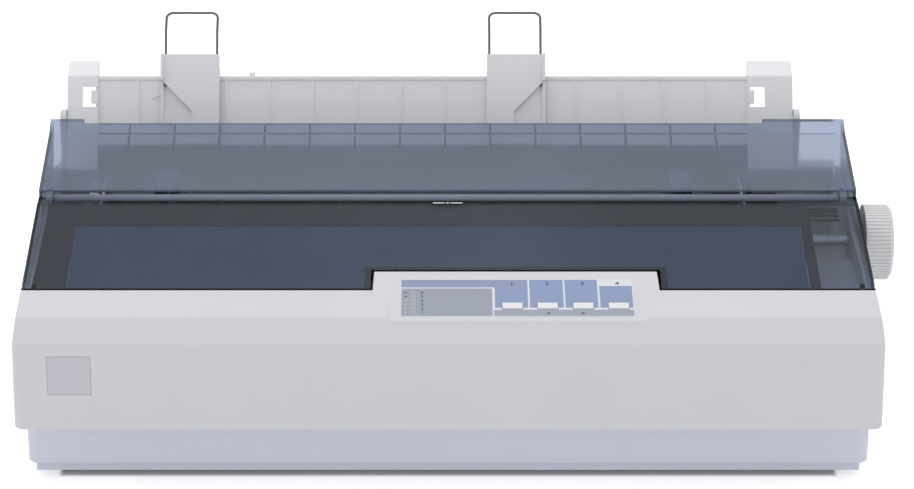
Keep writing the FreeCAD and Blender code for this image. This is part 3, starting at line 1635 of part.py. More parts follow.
def tractor_lid(x, out, third):
    hinge_x, hinge_z = lid_hinge(x, out)
    top = hinge_z + lid_lift
    inner = x - out * (tractor_half - seat_gap)
    low, high = sorted((inner, hinge_x - out * lid_knuckle_radius))
    plate = block(low, high, lid_front, tractor_rear, top, top + lid_thickness)
    wall_low, wall_high = sorted((hinge_x - out * lid_knuckle_radius, hinge_x))
    middle = (lid_front + third + seat_gap, tractor_rear - third - seat_gap)
    wall = block(wall_low, wall_high, *middle, hinge_z, top + lid_thickness)
    knuckle = rod_y(*middle, hinge_x, hinge_z, lid_knuckle_radius)
    lid = join(plate, wall, knuckle)
    return lid.cut(rod_y(lid_front, tractor_rear, hinge_x, hinge_z, lid_pin_radius + fit_gap))


def sprocket(x):
    """A toothed wheel on the square shaft, with tapered pins for the paper's edge holes."""
    wheel = rod_x(-sprocket_half, sprocket_half, 0, 0, sprocket_radius)
    straight = sprocket_radius + sprocket_pin_height / 2
    for i in range(sprocket_pins):
        angle = 2 * math.pi * (i + sprocket_turn_share) / sprocket_pins
        out = vec(0, math.cos(angle), math.sin(angle))
        pin = Part.makeCylinder(sprocket_pin_radius, straight - sprocket_radius / 2,
                                out * (sprocket_radius / 2), out)
        tip = Part.makeCone(sprocket_pin_radius, sprocket_pin_tip, sprocket_pin_height / 2,
                            out * straight, out)
        wheel = wheel.fuse(pin.fuse(tip))
    half = drive_square / 2 + fit_gap
    wheel = wheel.cut(block(-tractor_half, tractor_half, -half, half, -half, half))
    wheel.translate(vec(x, tractor_back(), platen_height))
    return wheel


def lock_lever(x):
    z = platen_height + lock_axis_up
    y = tractor_front - lock_axis_front
    half = lock_width / 2
    hub = rod_x(x - half, x + half, y, z, lock_hub_radius)
    arm = [(y, z), (y - lock_hub_radius, z), (y - lock_hub_radius, z + lock_length),
           (y - lock_hub_radius + lock_thickness, z + lock_length)]
    lever = join(hub, prism_x(arm, x - half, x + half))
    return lever.cut(rod_x(x - lock_width, x + lock_width, y, z, lock_pin_radius + fit_gap))


def tractor_shafts(drive_gear):
    y = tractor_back()
    near = gear_planes()[0]
    half = drive_square / 2
    inner_left = frame_left + frame_sheet + seam_gap
    inner_right = frame_right - frame_sheet - seam_gap
    bar = block(inner_left, inner_right, y - half, y + half, platen_height - half, platen_height + half)
    journals = rod_x(near, frame_right, y, platen_height, drive_journal_radius)
    save("tractor_drive_shaft", join(bar, journals, drive_gear))
    save("tractor_guide_shaft", rod_x(frame_left, frame_right, guide_shaft_back, platen_height,
                                      guide_shaft_radius))


# Carriage and belt drive

def carriage():
    x0, x1 = paper_centre - carriage_half, paper_centre + carriage_half
    body = block(x0, x1, carriage_front, carriage_rear, carriage_bottom, carriage_top)
    arm_low = rail_height + seat_gap
    fork0, fork1 = paper_centre - fork_half, paper_centre + fork_half
    upper = block(fork0, fork1, fork_front, carriage_front, arm_low, arm_low + fork_lip)
    low_top = rail_height - beam_sheet - seat_gap
    lower = block(fork0, fork1, fork_front, carriage_front, low_top - fork_lip, low_top)
    web_front = front_beam_back + rail_width + seat_gap
    web = block(fork0, fork1, web_front, carriage_front, low_top - fork_lip, arm_low + fork_lip)
    clamp_x0, clamp_x1 = paper_centre - clamp_half, paper_centre + clamp_half
    run = belt_back + pulley_radius + belt_gap
    clamp = block(clamp_x0, clamp_x1, run - seat_gap - clamp_wall,
                  run + belt_thickness + seat_gap + clamp_wall,
                  belt_height_place - belt_width / 2, carriage_bottom)
    bridge = block(clamp_x0, clamp_x1, carriage_front, carriage_front + clamp_wall,
                   belt_height_place - belt_width / 2, carriage_bottom)
    slot = block(clamp_x0 - overrun, clamp_x1 + overrun, run - seat_gap, run + belt_thickness + seat_gap,
                 belt_height_place - belt_width, belt_height_place + belt_width / 2 + seat_gap)
    shape = join(body, upper, lower, web, clamp, bridge).cut(slot)
    shape = shape.cut(rod_x(x0 - overrun, x1 + overrun, carriage_back, carriage_height,
                            carriage_bush_radius + fit_gap / 5))
    saddle = block(paper_centre - head_half, paper_centre + head_half, head_front, head_rear,
                   carriage_top, carriage_top + fork_lip)
    bushes = []
    for start in (x0, x1 - carriage_bush_length):
        end = start + carriage_bush_length
        bush = rod_x(start, end, carriage_back, carriage_height, carriage_bush_radius)
        bore = rod_x(start - overrun, end + overrun, carriage_back, carriage_height,
                     carriage_shaft_radius + fit_gap)
        bushes.append(bush.cut(bore))
    save("carriage_frame", join(shape, saddle), *bushes)


def carriage_shaft():
    save("carriage_shaft", rod_x(frame_left, gap_lever_place + gap_lever_thickness + fit_gap,
                                 carriage_back, carriage_height, carriage_shaft_radius))


def print_head():
    base = carriage_top + fork_lip
    body = block(paper_centre - head_half, paper_centre + head_half, fin_back, head_rear, base, head_top)
    nose = [(head_rear, nose_low - nose_chamfer), (nose_tip, nose_low), (nose_tip, nose_high),
            (head_rear, nose_high + nose_chamfer)]
    nose_solid = prism_x(nose, paper_centre - nose_half, paper_centre + nose_half)
    save("print_head", join(body, nose_solid, cooling_fins()))


def cooling_fins():
    """The finned plate cast on the head's front."""
    back = fin_back
    plate = block(paper_centre - head_half - fin_thickness, paper_centre + head_half + fin_thickness,
                  back - fin_thickness, back, fin_bottom, fin_top)
    shape = plate
    span = 2 * (head_half + fin_thickness) - fin_thickness
    for i in range(fin_count):
        x = paper_centre - head_half - fin_thickness + span * i / (fin_count - 1)
        shape = shape.fuse(block(x, x + fin_thickness, fin_front, back - fin_thickness, fin_bottom, fin_top))
    return shape


def ribbon_mask():
    """A thin steel mask between ribbon and paper, carried by a foot under the ribbon."""
    back = ribbon_back + ribbon_thickness + mask_gap
    plate = block(paper_centre - mask_half, paper_centre + mask_half, back, back + mask_sheet,
                  mask_low, mask_high)
    window = block(paper_centre - mask_window_half, paper_centre + mask_window_half, back - overrun,
                   back + overrun, mask_window_low, mask_window_high)
    foot = block(paper_centre - mask_half, paper_centre + mask_half, head_rear, back,
                 mask_low, mask_low + mask_sheet)
    save("ribbon_mask", join(plate.cut(window), foot))


def pulley(x):
    low = belt_height_place - belt_width / 2 - belt_gap
    high = belt_height_place + belt_width / 2 + belt_gap
    drum = rod_z(low, high, x, belt_back, pulley_radius)
    shape = join(rod_z(low - pulley_flange, low, x, belt_back, pulley_flange_radius), drum,
                 rod_z(high, high + pulley_flange, x, belt_back, pulley_flange_radius))
    return shape


def timing_belt():
    low = belt_height_place - belt_width / 2
    high = belt_height_place + belt_width / 2

    def loop(radius):
        middle = block(belt_left, belt_right, belt_back - radius, belt_back + radius, low, high)
        ends = [rod_z(low, high, x, belt_back, radius) for x in (belt_left, belt_right)]
        return join(middle, *ends)

    inner = pulley_radius + belt_gap
    save("timing_belt", loop(inner + belt_thickness).cut(loop(inner)))


def motor_top():
    """Height of the carriage motor's upper face."""
    return belt_height_place - belt_width / 2 - belt_gap - pulley_flange - gear_gap


def carriage_drive():
    top = motor_top()
    motor = rod_z(top - carriage_motor_height, top, belt_left, belt_back, carriage_motor_radius)
    motor = motor.cut(rod_z(top - carriage_motor_height, top + overrun, belt_left, belt_back,
                            motor_shaft_radius + fit_gap))
    save("carriage_motor", motor)
    shaft_top = belt_height_place + belt_width
    shaft = rod_z(top - carriage_motor_height / 2, shaft_top, belt_left, belt_back, motor_shaft_radius)
    save("drive_pulley", join(shaft, pulley(belt_left)))
    bore = rod_z(0, shaft_top + overrun, belt_right, belt_back, motor_shaft_radius + fit_gap)
    save("idler_pulley", pulley(belt_right).cut(bore))


def motor_bracket():
    """A tab bent from the left side plate, which the carriage motor stands on."""
    low = motor_top() - carriage_motor_height - motor_bracket_sheet
    return block(frame_left + frame_sheet, belt_left + carriage_motor_radius,
                 belt_back - carriage_motor_radius, belt_back + carriage_motor_radius,
                 low, low + motor_bracket_sheet)


def idler_bracket():
    """A tab bent from the right side plate, with the idler pulley's pin."""
    plate_top = belt_height_place - belt_width / 2 - belt_gap - pulley_flange - seat_gap
    plate = block(belt_right - idler_bracket_half, frame_right - frame_sheet, belt_back - idler_bracket_half,
                  belt_back + idler_bracket_half, plate_top - motor_bracket_sheet, plate_top)
    return join(plate, rod_z(plate_top, belt_height_place + belt_width, belt_right, belt_back,
                             motor_shaft_radius))


def feed_motor():
    inner = frame_left + frame_sheet
    y, z = pinion_axis()
    half = motor_side / 2
    corners = [(y - half, z - half), (y + half, z - half), (y + half, z + half), (y - half, z + half)]
    body = prism_x(corners, inner, inner + motor_length, motor_corner)
    body = join(body, rod_x(inner - motor_boss_height, inner, y, z, motor_boss_radius))
    bore_end = inner + motor_length - frame_sheet
    body = body.cut(rod_x(inner - overrun, bore_end, y, z, motor_shaft_radius + fit_gap))
    save("feed_motor", body)


# Ribbon cartridge

def ribbon_cartridge():
    body = prism_z([(cartridge_left, cartridge_front), (cartridge_right, cartridge_front),
                    (cartridge_right, cartridge_rear), (cartridge_left, cartridge_rear)],
                   frame_step, cartridge_top, cartridge_round)
    arms = []
    for low in (arm_left, arm_right):
        profile = [(arm_start_back, frame_step), (arm_rear, frame_step), (arm_rear, arm_top, cartridge_round),
                   (arm_start_back, arm_top, cartridge_round)]
        arms.append(prism_x(profile, low, low + arm_width))
    shape = join(body, *arms)
    slot_start, slot_end = arm_left + arm_width / 4, arm_right + 3 * arm_width / 4
    slot = block(slot_start, slot_end, ribbon_back - seat_gap, ribbon_back + ribbon_thickness + seat_gap,
                 ribbon_low - seat_gap, ribbon_high + seat_gap)
    shape = shape.cut(slot)
    x, y = ribbon_knob_place()
    shape = shape.cut(rod_z(cartridge_top - cartridge_round, cartridge_top + overrun, x, y,
                            ribbon_knob_axle + fit_gap))
    save("ribbon_cartridge", shape)
    save("ink_ribbon", block(slot_start + seat_gap, slot_end - seat_gap,
                             ribbon_back, ribbon_back + ribbon_thickness, ribbon_low, ribbon_high))


def ribbon_knob_place():
    return cartridge_left + ribbon_knob_inset, (cartridge_front + cartridge_rear) / 2


def ribbon_knob():
    x, y = ribbon_knob_place()
    base = cartridge_top + seat_gap
    points = []
    for i in range(2 * ribbon_knob_ribs):
        angle = math.pi * i / ribbon_knob_ribs
        radius = ribbon_knob_radius if i % 2 else ribbon_knob_radius - knob_rib_depth
        points.append(vec(x + radius * math.cos(angle), y + radius * math.sin(angle), base))
    grip = Part.Face(Part.makePolygon(points + [points[0]])).extrude(vec(0, 0, ribbon_knob_height))
    axle = rod_z(cartridge_top - cartridge_round + fit_gap, base, x, y, ribbon_knob_axle)
    save("ribbon_knob", join(grip, axle))


# Levers

def gap_lever():
    """The lever that sets the print head's distance, on the end of the carriage shaft."""
    x0, x1 = gap_lever_place, gap_lever_place + gap_lever_thickness
    half = gap_lever_width / 2
    hub = rod_x(x0, x1, carriage_back, carriage_height, gap_lever_hub)
    arm = block(x0, x1, carriage_back - half, carriage_back + half, carriage_height, gap_lever_top)
    shape = join(hub, arm)
    save("gap_lever", shape.cut(rod_x(x0 - overrun, x1 + overrun, carriage_back, carriage_height,
                                      carriage_shaft_radius + fit_gap)))


def release_lever():
    """The paper release lever, on a stud outside the right side plate."""
    x0 = frame_right + seat_gap
    x1 = x0 + release_thickness
    half = release_width / 2
    hub = rod_x(x0, x1, release_back, release_height, release_hub)
    arm = block(x0, x1, release_back - half, release_back + half, release_height, release_top)
    grip = block(x0, x1 + release_thickness, release_back - half, release_back + half,
                 release_top - release_grip, release_top)
    shape = join(hub, arm, grip)
    save("release_lever", shape.cut(rod_x(x0 - overrun, x1 + overrun, release_back, release_height,
                                          release_stud_radius + fit_gap)))


def release_stud():
    """The stud on the right side plate that carries the release lever."""
    return rod_x(frame_right - frame_sheet / 2, frame_right + seat_gap + 2 * release_thickness, release_back,
                 release_height, release_stud_radius)


# Electrics

def chips(left, right, front, rear, height, places):
    """Chips on a circuit board, from shares of the board's width and depth."""
    solids = []
    top = height + board_thickness
    for x, y, w, d in places:
        width, depth = right - left, rear - front
        solids.append(block(left + x * width, left + (x + w) * width, front + y * depth,
                            front + (y + d) * depth, top, top + chip_height))
    return solids


def electrics():
    top = main_board_height + board_thickness
    board = block(board_left_place, board_right_place, main_board_front, main_board_rear,
                  main_board_height, top)
    save("main_board", join(board, *chips(board_left_place, board_right_place, main_board_front,
                                          main_board_rear, main_board_height, chip_places_shares)))
    power_board = block(power_board_left, power_board_right, power_board_front, power_board_rear,
                        main_board_height, top)
    middle = (power_board_left + power_board_right) / 2
    spread = (power_board_rear - power_board_front) / 4
    cans = [rod_z(top, top + capacitor_height, middle, power_board_front + spread * i, capacitor_radius)
            for i in (1, 3)]
    core_left = middle - core_width / 2
    core = block(core_left, core_left + core_width, core_front, core_front + core_depth,
                 frame_bottom, frame_bottom + core_height)
    hole = block(core_left - overrun, core_left + core_width + overrun, core_front + core_limb,
                 core_front + core_depth - core_limb, frame_bottom + core_limb,
                 frame_bottom + core_height - core_limb)
    gap = winding_gap
    winding = block(core_left - winding_proud, core_left + core_width + winding_proud,
                    core_front + core_limb + gap, core_front + core_depth - core_limb - gap,
                    frame_bottom + core_limb, frame_bottom + core_height - core_limb)
    save("power_supply", join(power_board, *cans), core.cut(hole), winding)


def mains_inlet():
    left, right = module_span()
    half_t = inlet_tall / 2
    body = block(left, right, casing_depth - inlet_depth, casing_depth,
                 inlet_height - half_t, inlet_height + half_t)
    flange = block(left - inlet_flange, right + inlet_flange, casing_depth,
                   casing_depth + inlet_flange_thickness, inlet_height - half_t - inlet_flange,
                   inlet_height + half_t + inlet_flange)
    socket = block(inlet_place - inlet_socket_width / 2, inlet_place + inlet_socket_width / 2,
                   casing_depth + inlet_flange_thickness - inlet_socket_depth, casing_depth + overrun,
                   inlet_height - inlet_socket_tall / 2, inlet_height + inlet_socket_tall / 2)
    well = block(left + switch_wall, left + switch_width - switch_wall,
                 casing_depth - inlet_depth + switch_wall, casing_depth + overrun,
                 inlet_height - half_t + switch_wall, inlet_height + half_t - switch_wall)
    pin_hole = rod_x(left + switch_wall / 2, left + switch_width - switch_wall / 2,
                     casing_depth - rocker_depth, inlet_height, rocker_pin_radius + fit_gap)
    housing = join(body, flange).cut(socket).cut(well).cut(pin_hole)
    floor = casing_depth + inlet_flange_thickness - inlet_socket_depth
    blades = []
    for x, rise in ((-blade_spread, -blade_offset), (blade_spread, -blade_offset), (0, blade_offset)):
        blades.append(block(inlet_place + x - blade_width / 2, inlet_place + x + blade_width / 2, floor,
                            floor + blade_length, inlet_height + rise - blade_tall / 2,
                            inlet_height + rise + blade_tall / 2))
    save("mains_inlet", join(housing, *blades))


def data_connector():
    half_w, half_t = connector_width / 2, connector_tall / 2
    body = block(connector_place - half_w, connector_place + half_w, casing_depth - connector_depth,
                 casing_depth + connector_proud, connector_height - half_t, connector_height + half_t)
    slot_start = casing_depth + connector_proud - connector_slot_depth
    slot = block(connector_place - half_w + connector_wall, connector_place + half_w - connector_wall,
                 slot_start, casing_depth + connector_proud + overrun,
                 connector_height - half_t + connector_wall, connector_height + half_t - connector_wall)
    tongue = block(connector_place - half_w + tongue_inset, connector_place + half_w - tongue_inset,
                   slot_start - connector_wall, casing_depth + connector_proud - connector_wall,
                   connector_height - tongue_tall / 2, connector_height + tongue_tall / 2)
    save("data_connector", join(body.cut(slot), tongue))


def power_rocker():
    """The power switch's rocker with its pin, tilted to its off position."""
    left = module_span()[0]
    x0 = left + switch_wall + rocker_gap
    x1 = left + switch_width - switch_wall - rocker_gap
    y, z = casing_depth - rocker_depth, inlet_height
    lean = (rocker_depth + rocker_proud) * math.sin(math.radians(rocker_tilt))
    reach = inlet_tall / 2 - switch_wall - 2 * rocker_gap - lean
    face = y + rocker_depth + rocker_proud
    drum = rod_x(x0, x1, y, z, rocker_depth - switch_wall)
    paddle = [(y, z - rocker_pin_radius), (face - rocker_proud / 2, z - reach),
              (face, z - reach + switch_wall), (face - rocker_proud / 3, z),
              (face, z + reach - switch_wall), (face - rocker_proud / 2, z + reach),
              (y, z + rocker_pin_radius)]
    pin = rod_x(left + switch_wall / 2, left + switch_width - switch_wall / 2, y, z, rocker_pin_radius)
    shape = join(drum, prism_x(paddle, x0, x1), pin)
    shape.rotate(vec(x0, y, z), vec(1, 0, 0), -rocker_tilt)
    save("power_rocker", shape)


screws = []

os.makedirs("parts", exist_ok=True)
upper_case()
lower_case()
rubber_feet()
case_screws()
panel_label()
panel_board()
indicators()
for number, place in enumerate(button_places, 1):
    button(number, place)
printer_cover()
exit_flap()
paper_guide()
for side_name, middle, side in (("left", edge_left_place, -1), ("right", edge_right_place, 1)):
    edge_guide(f"{side_name}_edge_guide", middle, side)
    wire_support(f"{side_name}_wire_support", middle, side)
side_frame("left_side_frame", frame_left, 1, True, gear_studs() + [motor_bracket()])
side_frame("right_side_frame", frame_right, -1, False, [idler_bracket(), release_stud()])
frame_beams()
frame_screws()
save("screws", *screws)
tractor_gear = gear_train()
platen()
platen_bushes()
platen_knob()
pressure_rollers()
paper_pan()
tractor("left", tractor_left_place, -1)
tractor("right", tractor_right_place, 1)
tractor_shafts(tractor_gear)
carriage()
carriage_shaft()
print_head()
ribbon_mask()
timing_belt()
carriage_drive()
feed_motor()
ribbon_cartridge()
ribbon_knob()
gap_lever()
release_lever()
electrics()
mains_inlet()
data_connector()
power_rocker()
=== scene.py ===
import math

import bmesh
import bpy
from mathutils import Matrix, Vector


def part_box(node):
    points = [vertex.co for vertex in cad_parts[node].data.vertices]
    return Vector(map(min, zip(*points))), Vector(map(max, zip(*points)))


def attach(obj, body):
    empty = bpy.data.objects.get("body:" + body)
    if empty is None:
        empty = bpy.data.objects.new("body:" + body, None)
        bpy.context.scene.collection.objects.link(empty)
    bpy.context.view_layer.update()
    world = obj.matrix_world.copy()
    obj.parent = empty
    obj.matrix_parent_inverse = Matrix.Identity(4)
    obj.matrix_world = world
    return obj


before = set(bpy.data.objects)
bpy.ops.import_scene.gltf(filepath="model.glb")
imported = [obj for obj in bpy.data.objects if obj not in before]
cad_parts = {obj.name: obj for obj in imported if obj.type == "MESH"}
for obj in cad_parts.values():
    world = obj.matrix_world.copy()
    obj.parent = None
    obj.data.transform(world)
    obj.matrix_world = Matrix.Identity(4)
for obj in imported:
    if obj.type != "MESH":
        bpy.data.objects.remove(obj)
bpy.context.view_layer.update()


# Camera
# The photograph was taken from in front, about 2.2 m away and 23.5 degrees above level, with
# a long lens. The small sideways shift puts the printer where the photograph has it.
camera_place = (-0.02285, -2.1608, 1.0506)
camera_above = 23.5
camera_focal = 128.4
camera_sideways = 0.0302

camera_data = bpy.data.cameras.new("camera")
camera_data.lens = camera_focal
camera_data.shift_x = camera_sideways
camera = bpy.data.objects.new("camera", camera_data)
camera.location = camera_place
camera.rotation_euler = (math.radians(90 - camera_above), 0, 0)
bpy.context.scene.collection.objects.link(camera)
bpy.context.scene.camera = camera


# Table and light
# A white studio table under an even white sky and one wide soft lamp overhead. The camera sees
# the sky white, also through glass, and glossy surfaces mirror a duller one. The table glows
# a little, except in a rectangle under the printer, where its shadow is painted darker.
sky_fill = 0.76
sky_mirrored = 0.45
lamp_power = 19.0
lamp_width = 2.4
lamp_place = (-0.3, 0.5, 2.6)
table_half = 9.0
table_drop = 0.0004
table_lift = 0.5
shaded_middle = -0.00985
shaded_half = (0.268, 0.145)
shade_sharpness = 300.0
table_roughness, table_mottle = 0.85, 0.1


def shade(red, green, blue):
    """A display colour, 0 to 255, as the linear colour that the shader wants."""
    parts = [value / 255 for value in (red, green, blue)]
    return tuple(p / 12.92 if p <= 0.04045 else ((p + 0.055) / 1.055) ** 2.4
                 for p in parts) + (1.0,)


def add(tree, kind, inputs=None, **settings):
    """A shader node. Each input is a number, a colour or another node's output."""
    made = tree.nodes.new(kind)
    for key, value in settings.items():
        setattr(made, key, value)
    for key, value in (inputs or {}).items():
        if isinstance(value, bpy.types.NodeSocket):
            tree.links.new(value, made.inputs[key])
        else:
            made.inputs[key].default_value = value
    return made


def calc(tree, operation, first, second=0.0, clamp=False):
    return add(tree, "ShaderNodeMath", {0: first, 1: second}, operation=operation,
               use_clamp=clamp).outputs[0]


def mixed(tree, factor, first, second):
    """Two colours mixed by a factor."""
    return add(tree, "ShaderNodeMix", {0: factor, 6: first, 7: second}, data_type="RGBA").outputs[2]


def seen_rays(tree):
    """1 for what the camera, glass and metal see, 0 for the light that falls on things."""
    path = add(tree, "ShaderNodeLightPath")
    direct = calc(tree, "MAXIMUM", path.outputs["Is Camera Ray"], path.outputs["Is Glossy Ray"])
    return calc(tree, "MAXIMUM", direct, path.outputs["Is Transmission Ray"])


def mirror_rays(tree):
    """1 for what glossy surfaces mirror, 0 for everything else."""
    path = add(tree, "ShaderNodeLightPath")
    through = calc(tree, "MAXIMUM", path.outputs["Is Camera Ray"],
                   path.outputs["Is Transmission Ray"])
    return calc(tree, "SUBTRACT", path.outputs["Is Glossy Ray"], through, clamp=True)


bpy.context.scene.view_settings.view_transform = "Standard"
sky = bpy.data.worlds.new("sky")
bpy.context.scene.world = sky
sky.use_nodes = True
sky_tree = sky.node_tree
seen = seen_rays(sky_tree)
mirrored = calc(sky_tree, "MULTIPLY", mirror_rays(sky_tree), 1 - sky_mirrored)
strength = calc(sky_tree, "ADD", calc(sky_tree, "MULTIPLY", seen, 1 - sky_fill), sky_fill)
strength = calc(sky_tree, "SUBTRACT", strength, mirrored)
sky_shader = sky_tree.nodes["Background"]
sky_shader.inputs["Color"].default_value = (1, 1, 1, 1)
sky_tree.links.new(strength, sky_shader.inputs["Strength"])

lamp_data = bpy.data.lights.new("overhead_lamp", "AREA")
lamp_data.energy = lamp_power
lamp_data.size = lamp_width
lamp = bpy.data.objects.new("overhead_lamp", lamp_data)
lamp.location = lamp_place
lamp.visible_glossy = False
lamp.rotation_euler = (-Vector(lamp_place)).to_track_quat("-Z", "Y").to_euler()
bpy.context.scene.collection.objects.link(lamp)

table_mesh = bpy.data.meshes.new("table")
table_mesh.from_pydata([(-table_half, -table_half, -table_drop),
                        (table_half, -table_half, -table_drop),
                        (table_half, table_half, -table_drop),
                        (-table_half, table_half, -table_drop)], [], [(0, 1, 2, 3)])
table = bpy.data.objects.new("table", table_mesh)
bpy.context.scene.collection.objects.link(table)
table_white = bpy.data.materials.new("table_white")
table_white.use_nodes = True
tree = table_white.node_tree
place = add(tree, "ShaderNodeTexCoord").outputs["Object"]
speckle = add(tree, "ShaderNodeTexNoise", {"Vector": place, "Scale": 60.0})
across = add(tree, "ShaderNodeSeparateXYZ", {"Vector": place})
# The glow is left out in a rectangle under the printer: a painted shadow.
aside = calc(tree, "ABSOLUTE", calc(tree, "SUBTRACT", across.outputs["X"], shaded_middle))
past_side = calc(tree, "SUBTRACT", aside, shaded_half[0])
past_front = calc(tree, "SUBTRACT", calc(tree, "ABSOLUTE", across.outputs["Y"]), shaded_half[1])
outside_painted_shadow = calc(tree, "MULTIPLY", calc(tree, "MAXIMUM", past_side, past_front), shade_sharpness,
              clamp=True)
glow = calc(tree, "MULTIPLY", calc(tree, "MULTIPLY", seen_rays(tree), table_lift), outside_painted_shadow)
shader = tree.nodes["Principled BSDF"]
shader.inputs["Base Color"].default_value = shade(243, 243, 243)
shader.inputs["Emission Color"].default_value = (1, 1, 1, 1)
speckled = calc(tree, "MULTIPLY", speckle.outputs["Fac"], table_mottle)
tree.links.new(calc(tree, "ADD", speckled, table_roughness), shader.inputs["Roughness"])
tree.links.new(glow, shader.inputs["Emission Strength"])
table_mesh.materials.append(table_white)


# Lower casing
# The tray that everything is screwed to: one moulding in pale blue-grey plastic with a fine
# spark grain, paler and rubbed smooth along its edges.
tray_colour = shade(222, 227, 240)
surface_outputs = [("Colour", "Color"), ("Roughness", "Float"), ("Normal", "Vector")]
noise_middle = 0.5
edge_gain = 7.0
edge_patch_floor = 0.25
rubbed_brightness = 1.16
broad_roughness = 0.2
grain_roughness = 0.08
rubbed_polish = 0.15


def new_group(name, inputs, outputs):
    """A shader node group: inputs are (name, kind, value), outputs (name, kind)."""
    group = bpy.data.node_groups.new(name, "ShaderNodeTree")
    for label, kind, value in inputs:
        socket = group.interface.new_socket(name=label, in_out="INPUT",
                                            socket_type="NodeSocket" + kind)
        socket.default_value = value
    for label, kind in outputs:
        group.interface.new_socket(name=label, in_out="OUTPUT", socket_type="NodeSocket" + kind)
    entries = group.nodes.new("NodeGroupInput").outputs
    return group, entries, group.nodes.new("NodeGroupOutput").inputs


edge_wear, given, result = new_group(
    "edge_wear", [("Width", "Float", 0.0006), ("Patches", "Float", 40.0), ("Amount", "Float", 0.5)],
    [("Mask", "Float")])
rounded = add(edge_wear, "ShaderNodeBevel", {"Radius": given["Width"]}, samples=4)
true_normal = add(edge_wear, "ShaderNodeNewGeometry").outputs["Normal"]
facing = add(edge_wear, "ShaderNodeVectorMath", {0: rounded.outputs[0], 1: true_normal},
             operation="DOT_PRODUCT")
turned = calc(edge_wear, "SUBTRACT", 1.0, facing.outputs["Value"], clamp=True)
edge_place = add(edge_wear, "ShaderNodeTexCoord").outputs["Object"]
patch = add(edge_wear, "ShaderNodeTexNoise",
            {"Vector": edge_place, "Scale": given["Patches"], "Detail": 3.0})
patchy = calc(edge_wear, "ADD", patch.outputs["Fac"], edge_patch_floor, clamp=True)
sharp = calc(edge_wear, "MULTIPLY", calc(edge_wear, "MULTIPLY", turned, edge_gain, clamp=True),
             patchy)
edge_wear.links.new(calc(edge_wear, "MULTIPLY", sharp, given["Amount"], clamp=True), result["Mask"])

spark_grain, given, result = new_group(
    "spark_grain",
    [("Colour", "Color", (0.6, 0.6, 0.6, 1)), ("Roughness", "Float", 0.5),
     ("Grain", "Float", 2200.0), ("Depth", "Float", 0.00003), ("Mottle", "Float", 0.06),
     ("Wear", "Float", 0.5)], surface_outputs)
grain_place = add(spark_grain, "ShaderNodeTexCoord").outputs["Object"]
grain = add(spark_grain, "ShaderNodeTexNoise",
            {"Vector": grain_place, "Scale": given["Grain"], "Detail": 2.0})
broad = add(spark_grain, "ShaderNodeTexNoise",
            {"Vector": grain_place, "Scale": 17.0, "Detail": 4.0})
swing = calc(spark_grain, "SUBTRACT", broad.outputs["Fac"], noise_middle)
brightness = calc(spark_grain, "ADD", calc(spark_grain, "MULTIPLY", swing, given["Mottle"]), 1.0)
mottled = add(spark_grain, "ShaderNodeVectorMath", {0: given["Colour"], "Scale": brightness},
              operation="SCALE")
rubbed = add(spark_grain, "ShaderNodeVectorMath",
             {0: mottled.outputs[0], "Scale": rubbed_brightness}, operation="SCALE")
edges = add(spark_grain, "ShaderNodeGroup", {"Amount": given["Wear"]}, node_tree=edge_wear)
worn = edges.outputs["Mask"]
spark_grain.links.new(mixed(spark_grain, worn, mottled.outputs[0], rubbed.outputs[0]),
                      result["Colour"])
uneven = calc(spark_grain, "ADD", given["Roughness"],
              calc(spark_grain, "MULTIPLY", swing, broad_roughness))
grainy = calc(spark_grain, "ADD", uneven,
              calc(spark_grain, "MULTIPLY", grain.outputs["Fac"], grain_roughness))
polished = calc(spark_grain, "SUBTRACT", grainy, calc(spark_grain, "MULTIPLY", worn, rubbed_polish),
                clamp=True)
spark_grain.links.new(polished, result["Roughness"])
bumped = add(spark_grain, "ShaderNodeBump",
             {"Height": grain.outputs["Fac"], "Distance": given["Depth"]})
spark_grain.links.new(bumped.outputs["Normal"], result["Normal"])


def surfaced(name, group, values, shader_values=()):
    """A material whose colour, roughness and normal come from a group with these values."""
    material = bpy.data.materials.new(name)
    material.use_nodes = True
    tree = material.node_tree
    shader = tree.nodes["Principled BSDF"]
    surface = add(tree, "ShaderNodeGroup", values, node_tree=group)
    for output, target in (("Colour", "Base Color"), ("Roughness", "Roughness"),
                           ("Normal", "Normal")):
        if output in surface.outputs:
            tree.links.new(surface.outputs[output], shader.inputs[target])
    for key, value in dict(shader_values).items():
        shader.inputs[key].default_value = value
    return material


def moulded_plastic(name, colour, roughness=0.48, grain=2200.0, depth=0.00003, mottle=0.06,
                    wear=0.5):
    return surfaced(name, spark_grain, {"Colour": colour, "Roughness": roughness, "Grain": grain,
                                        "Depth": depth, "Mottle": mottle, "Wear": wear},
                    {"IOR": 1.52})


def finish(material, *names):
    """Give CAD nodes a material."""
    for name in names:
        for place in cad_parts[name].material_slots:
            place.material = material


finish(moulded_plastic("tray_plastic", tray_colour), "lower_case")


# Rubber feet
# Four black rubber pads pressed into pockets under the tray, dull and dusty.
finish(moulded_plastic("foot_rubber", shade(52, 52, 55), roughness=0.82, grain=900.0, depth=0.00008,
                       mottle=0.3, wear=0.15), "rubber_feet")


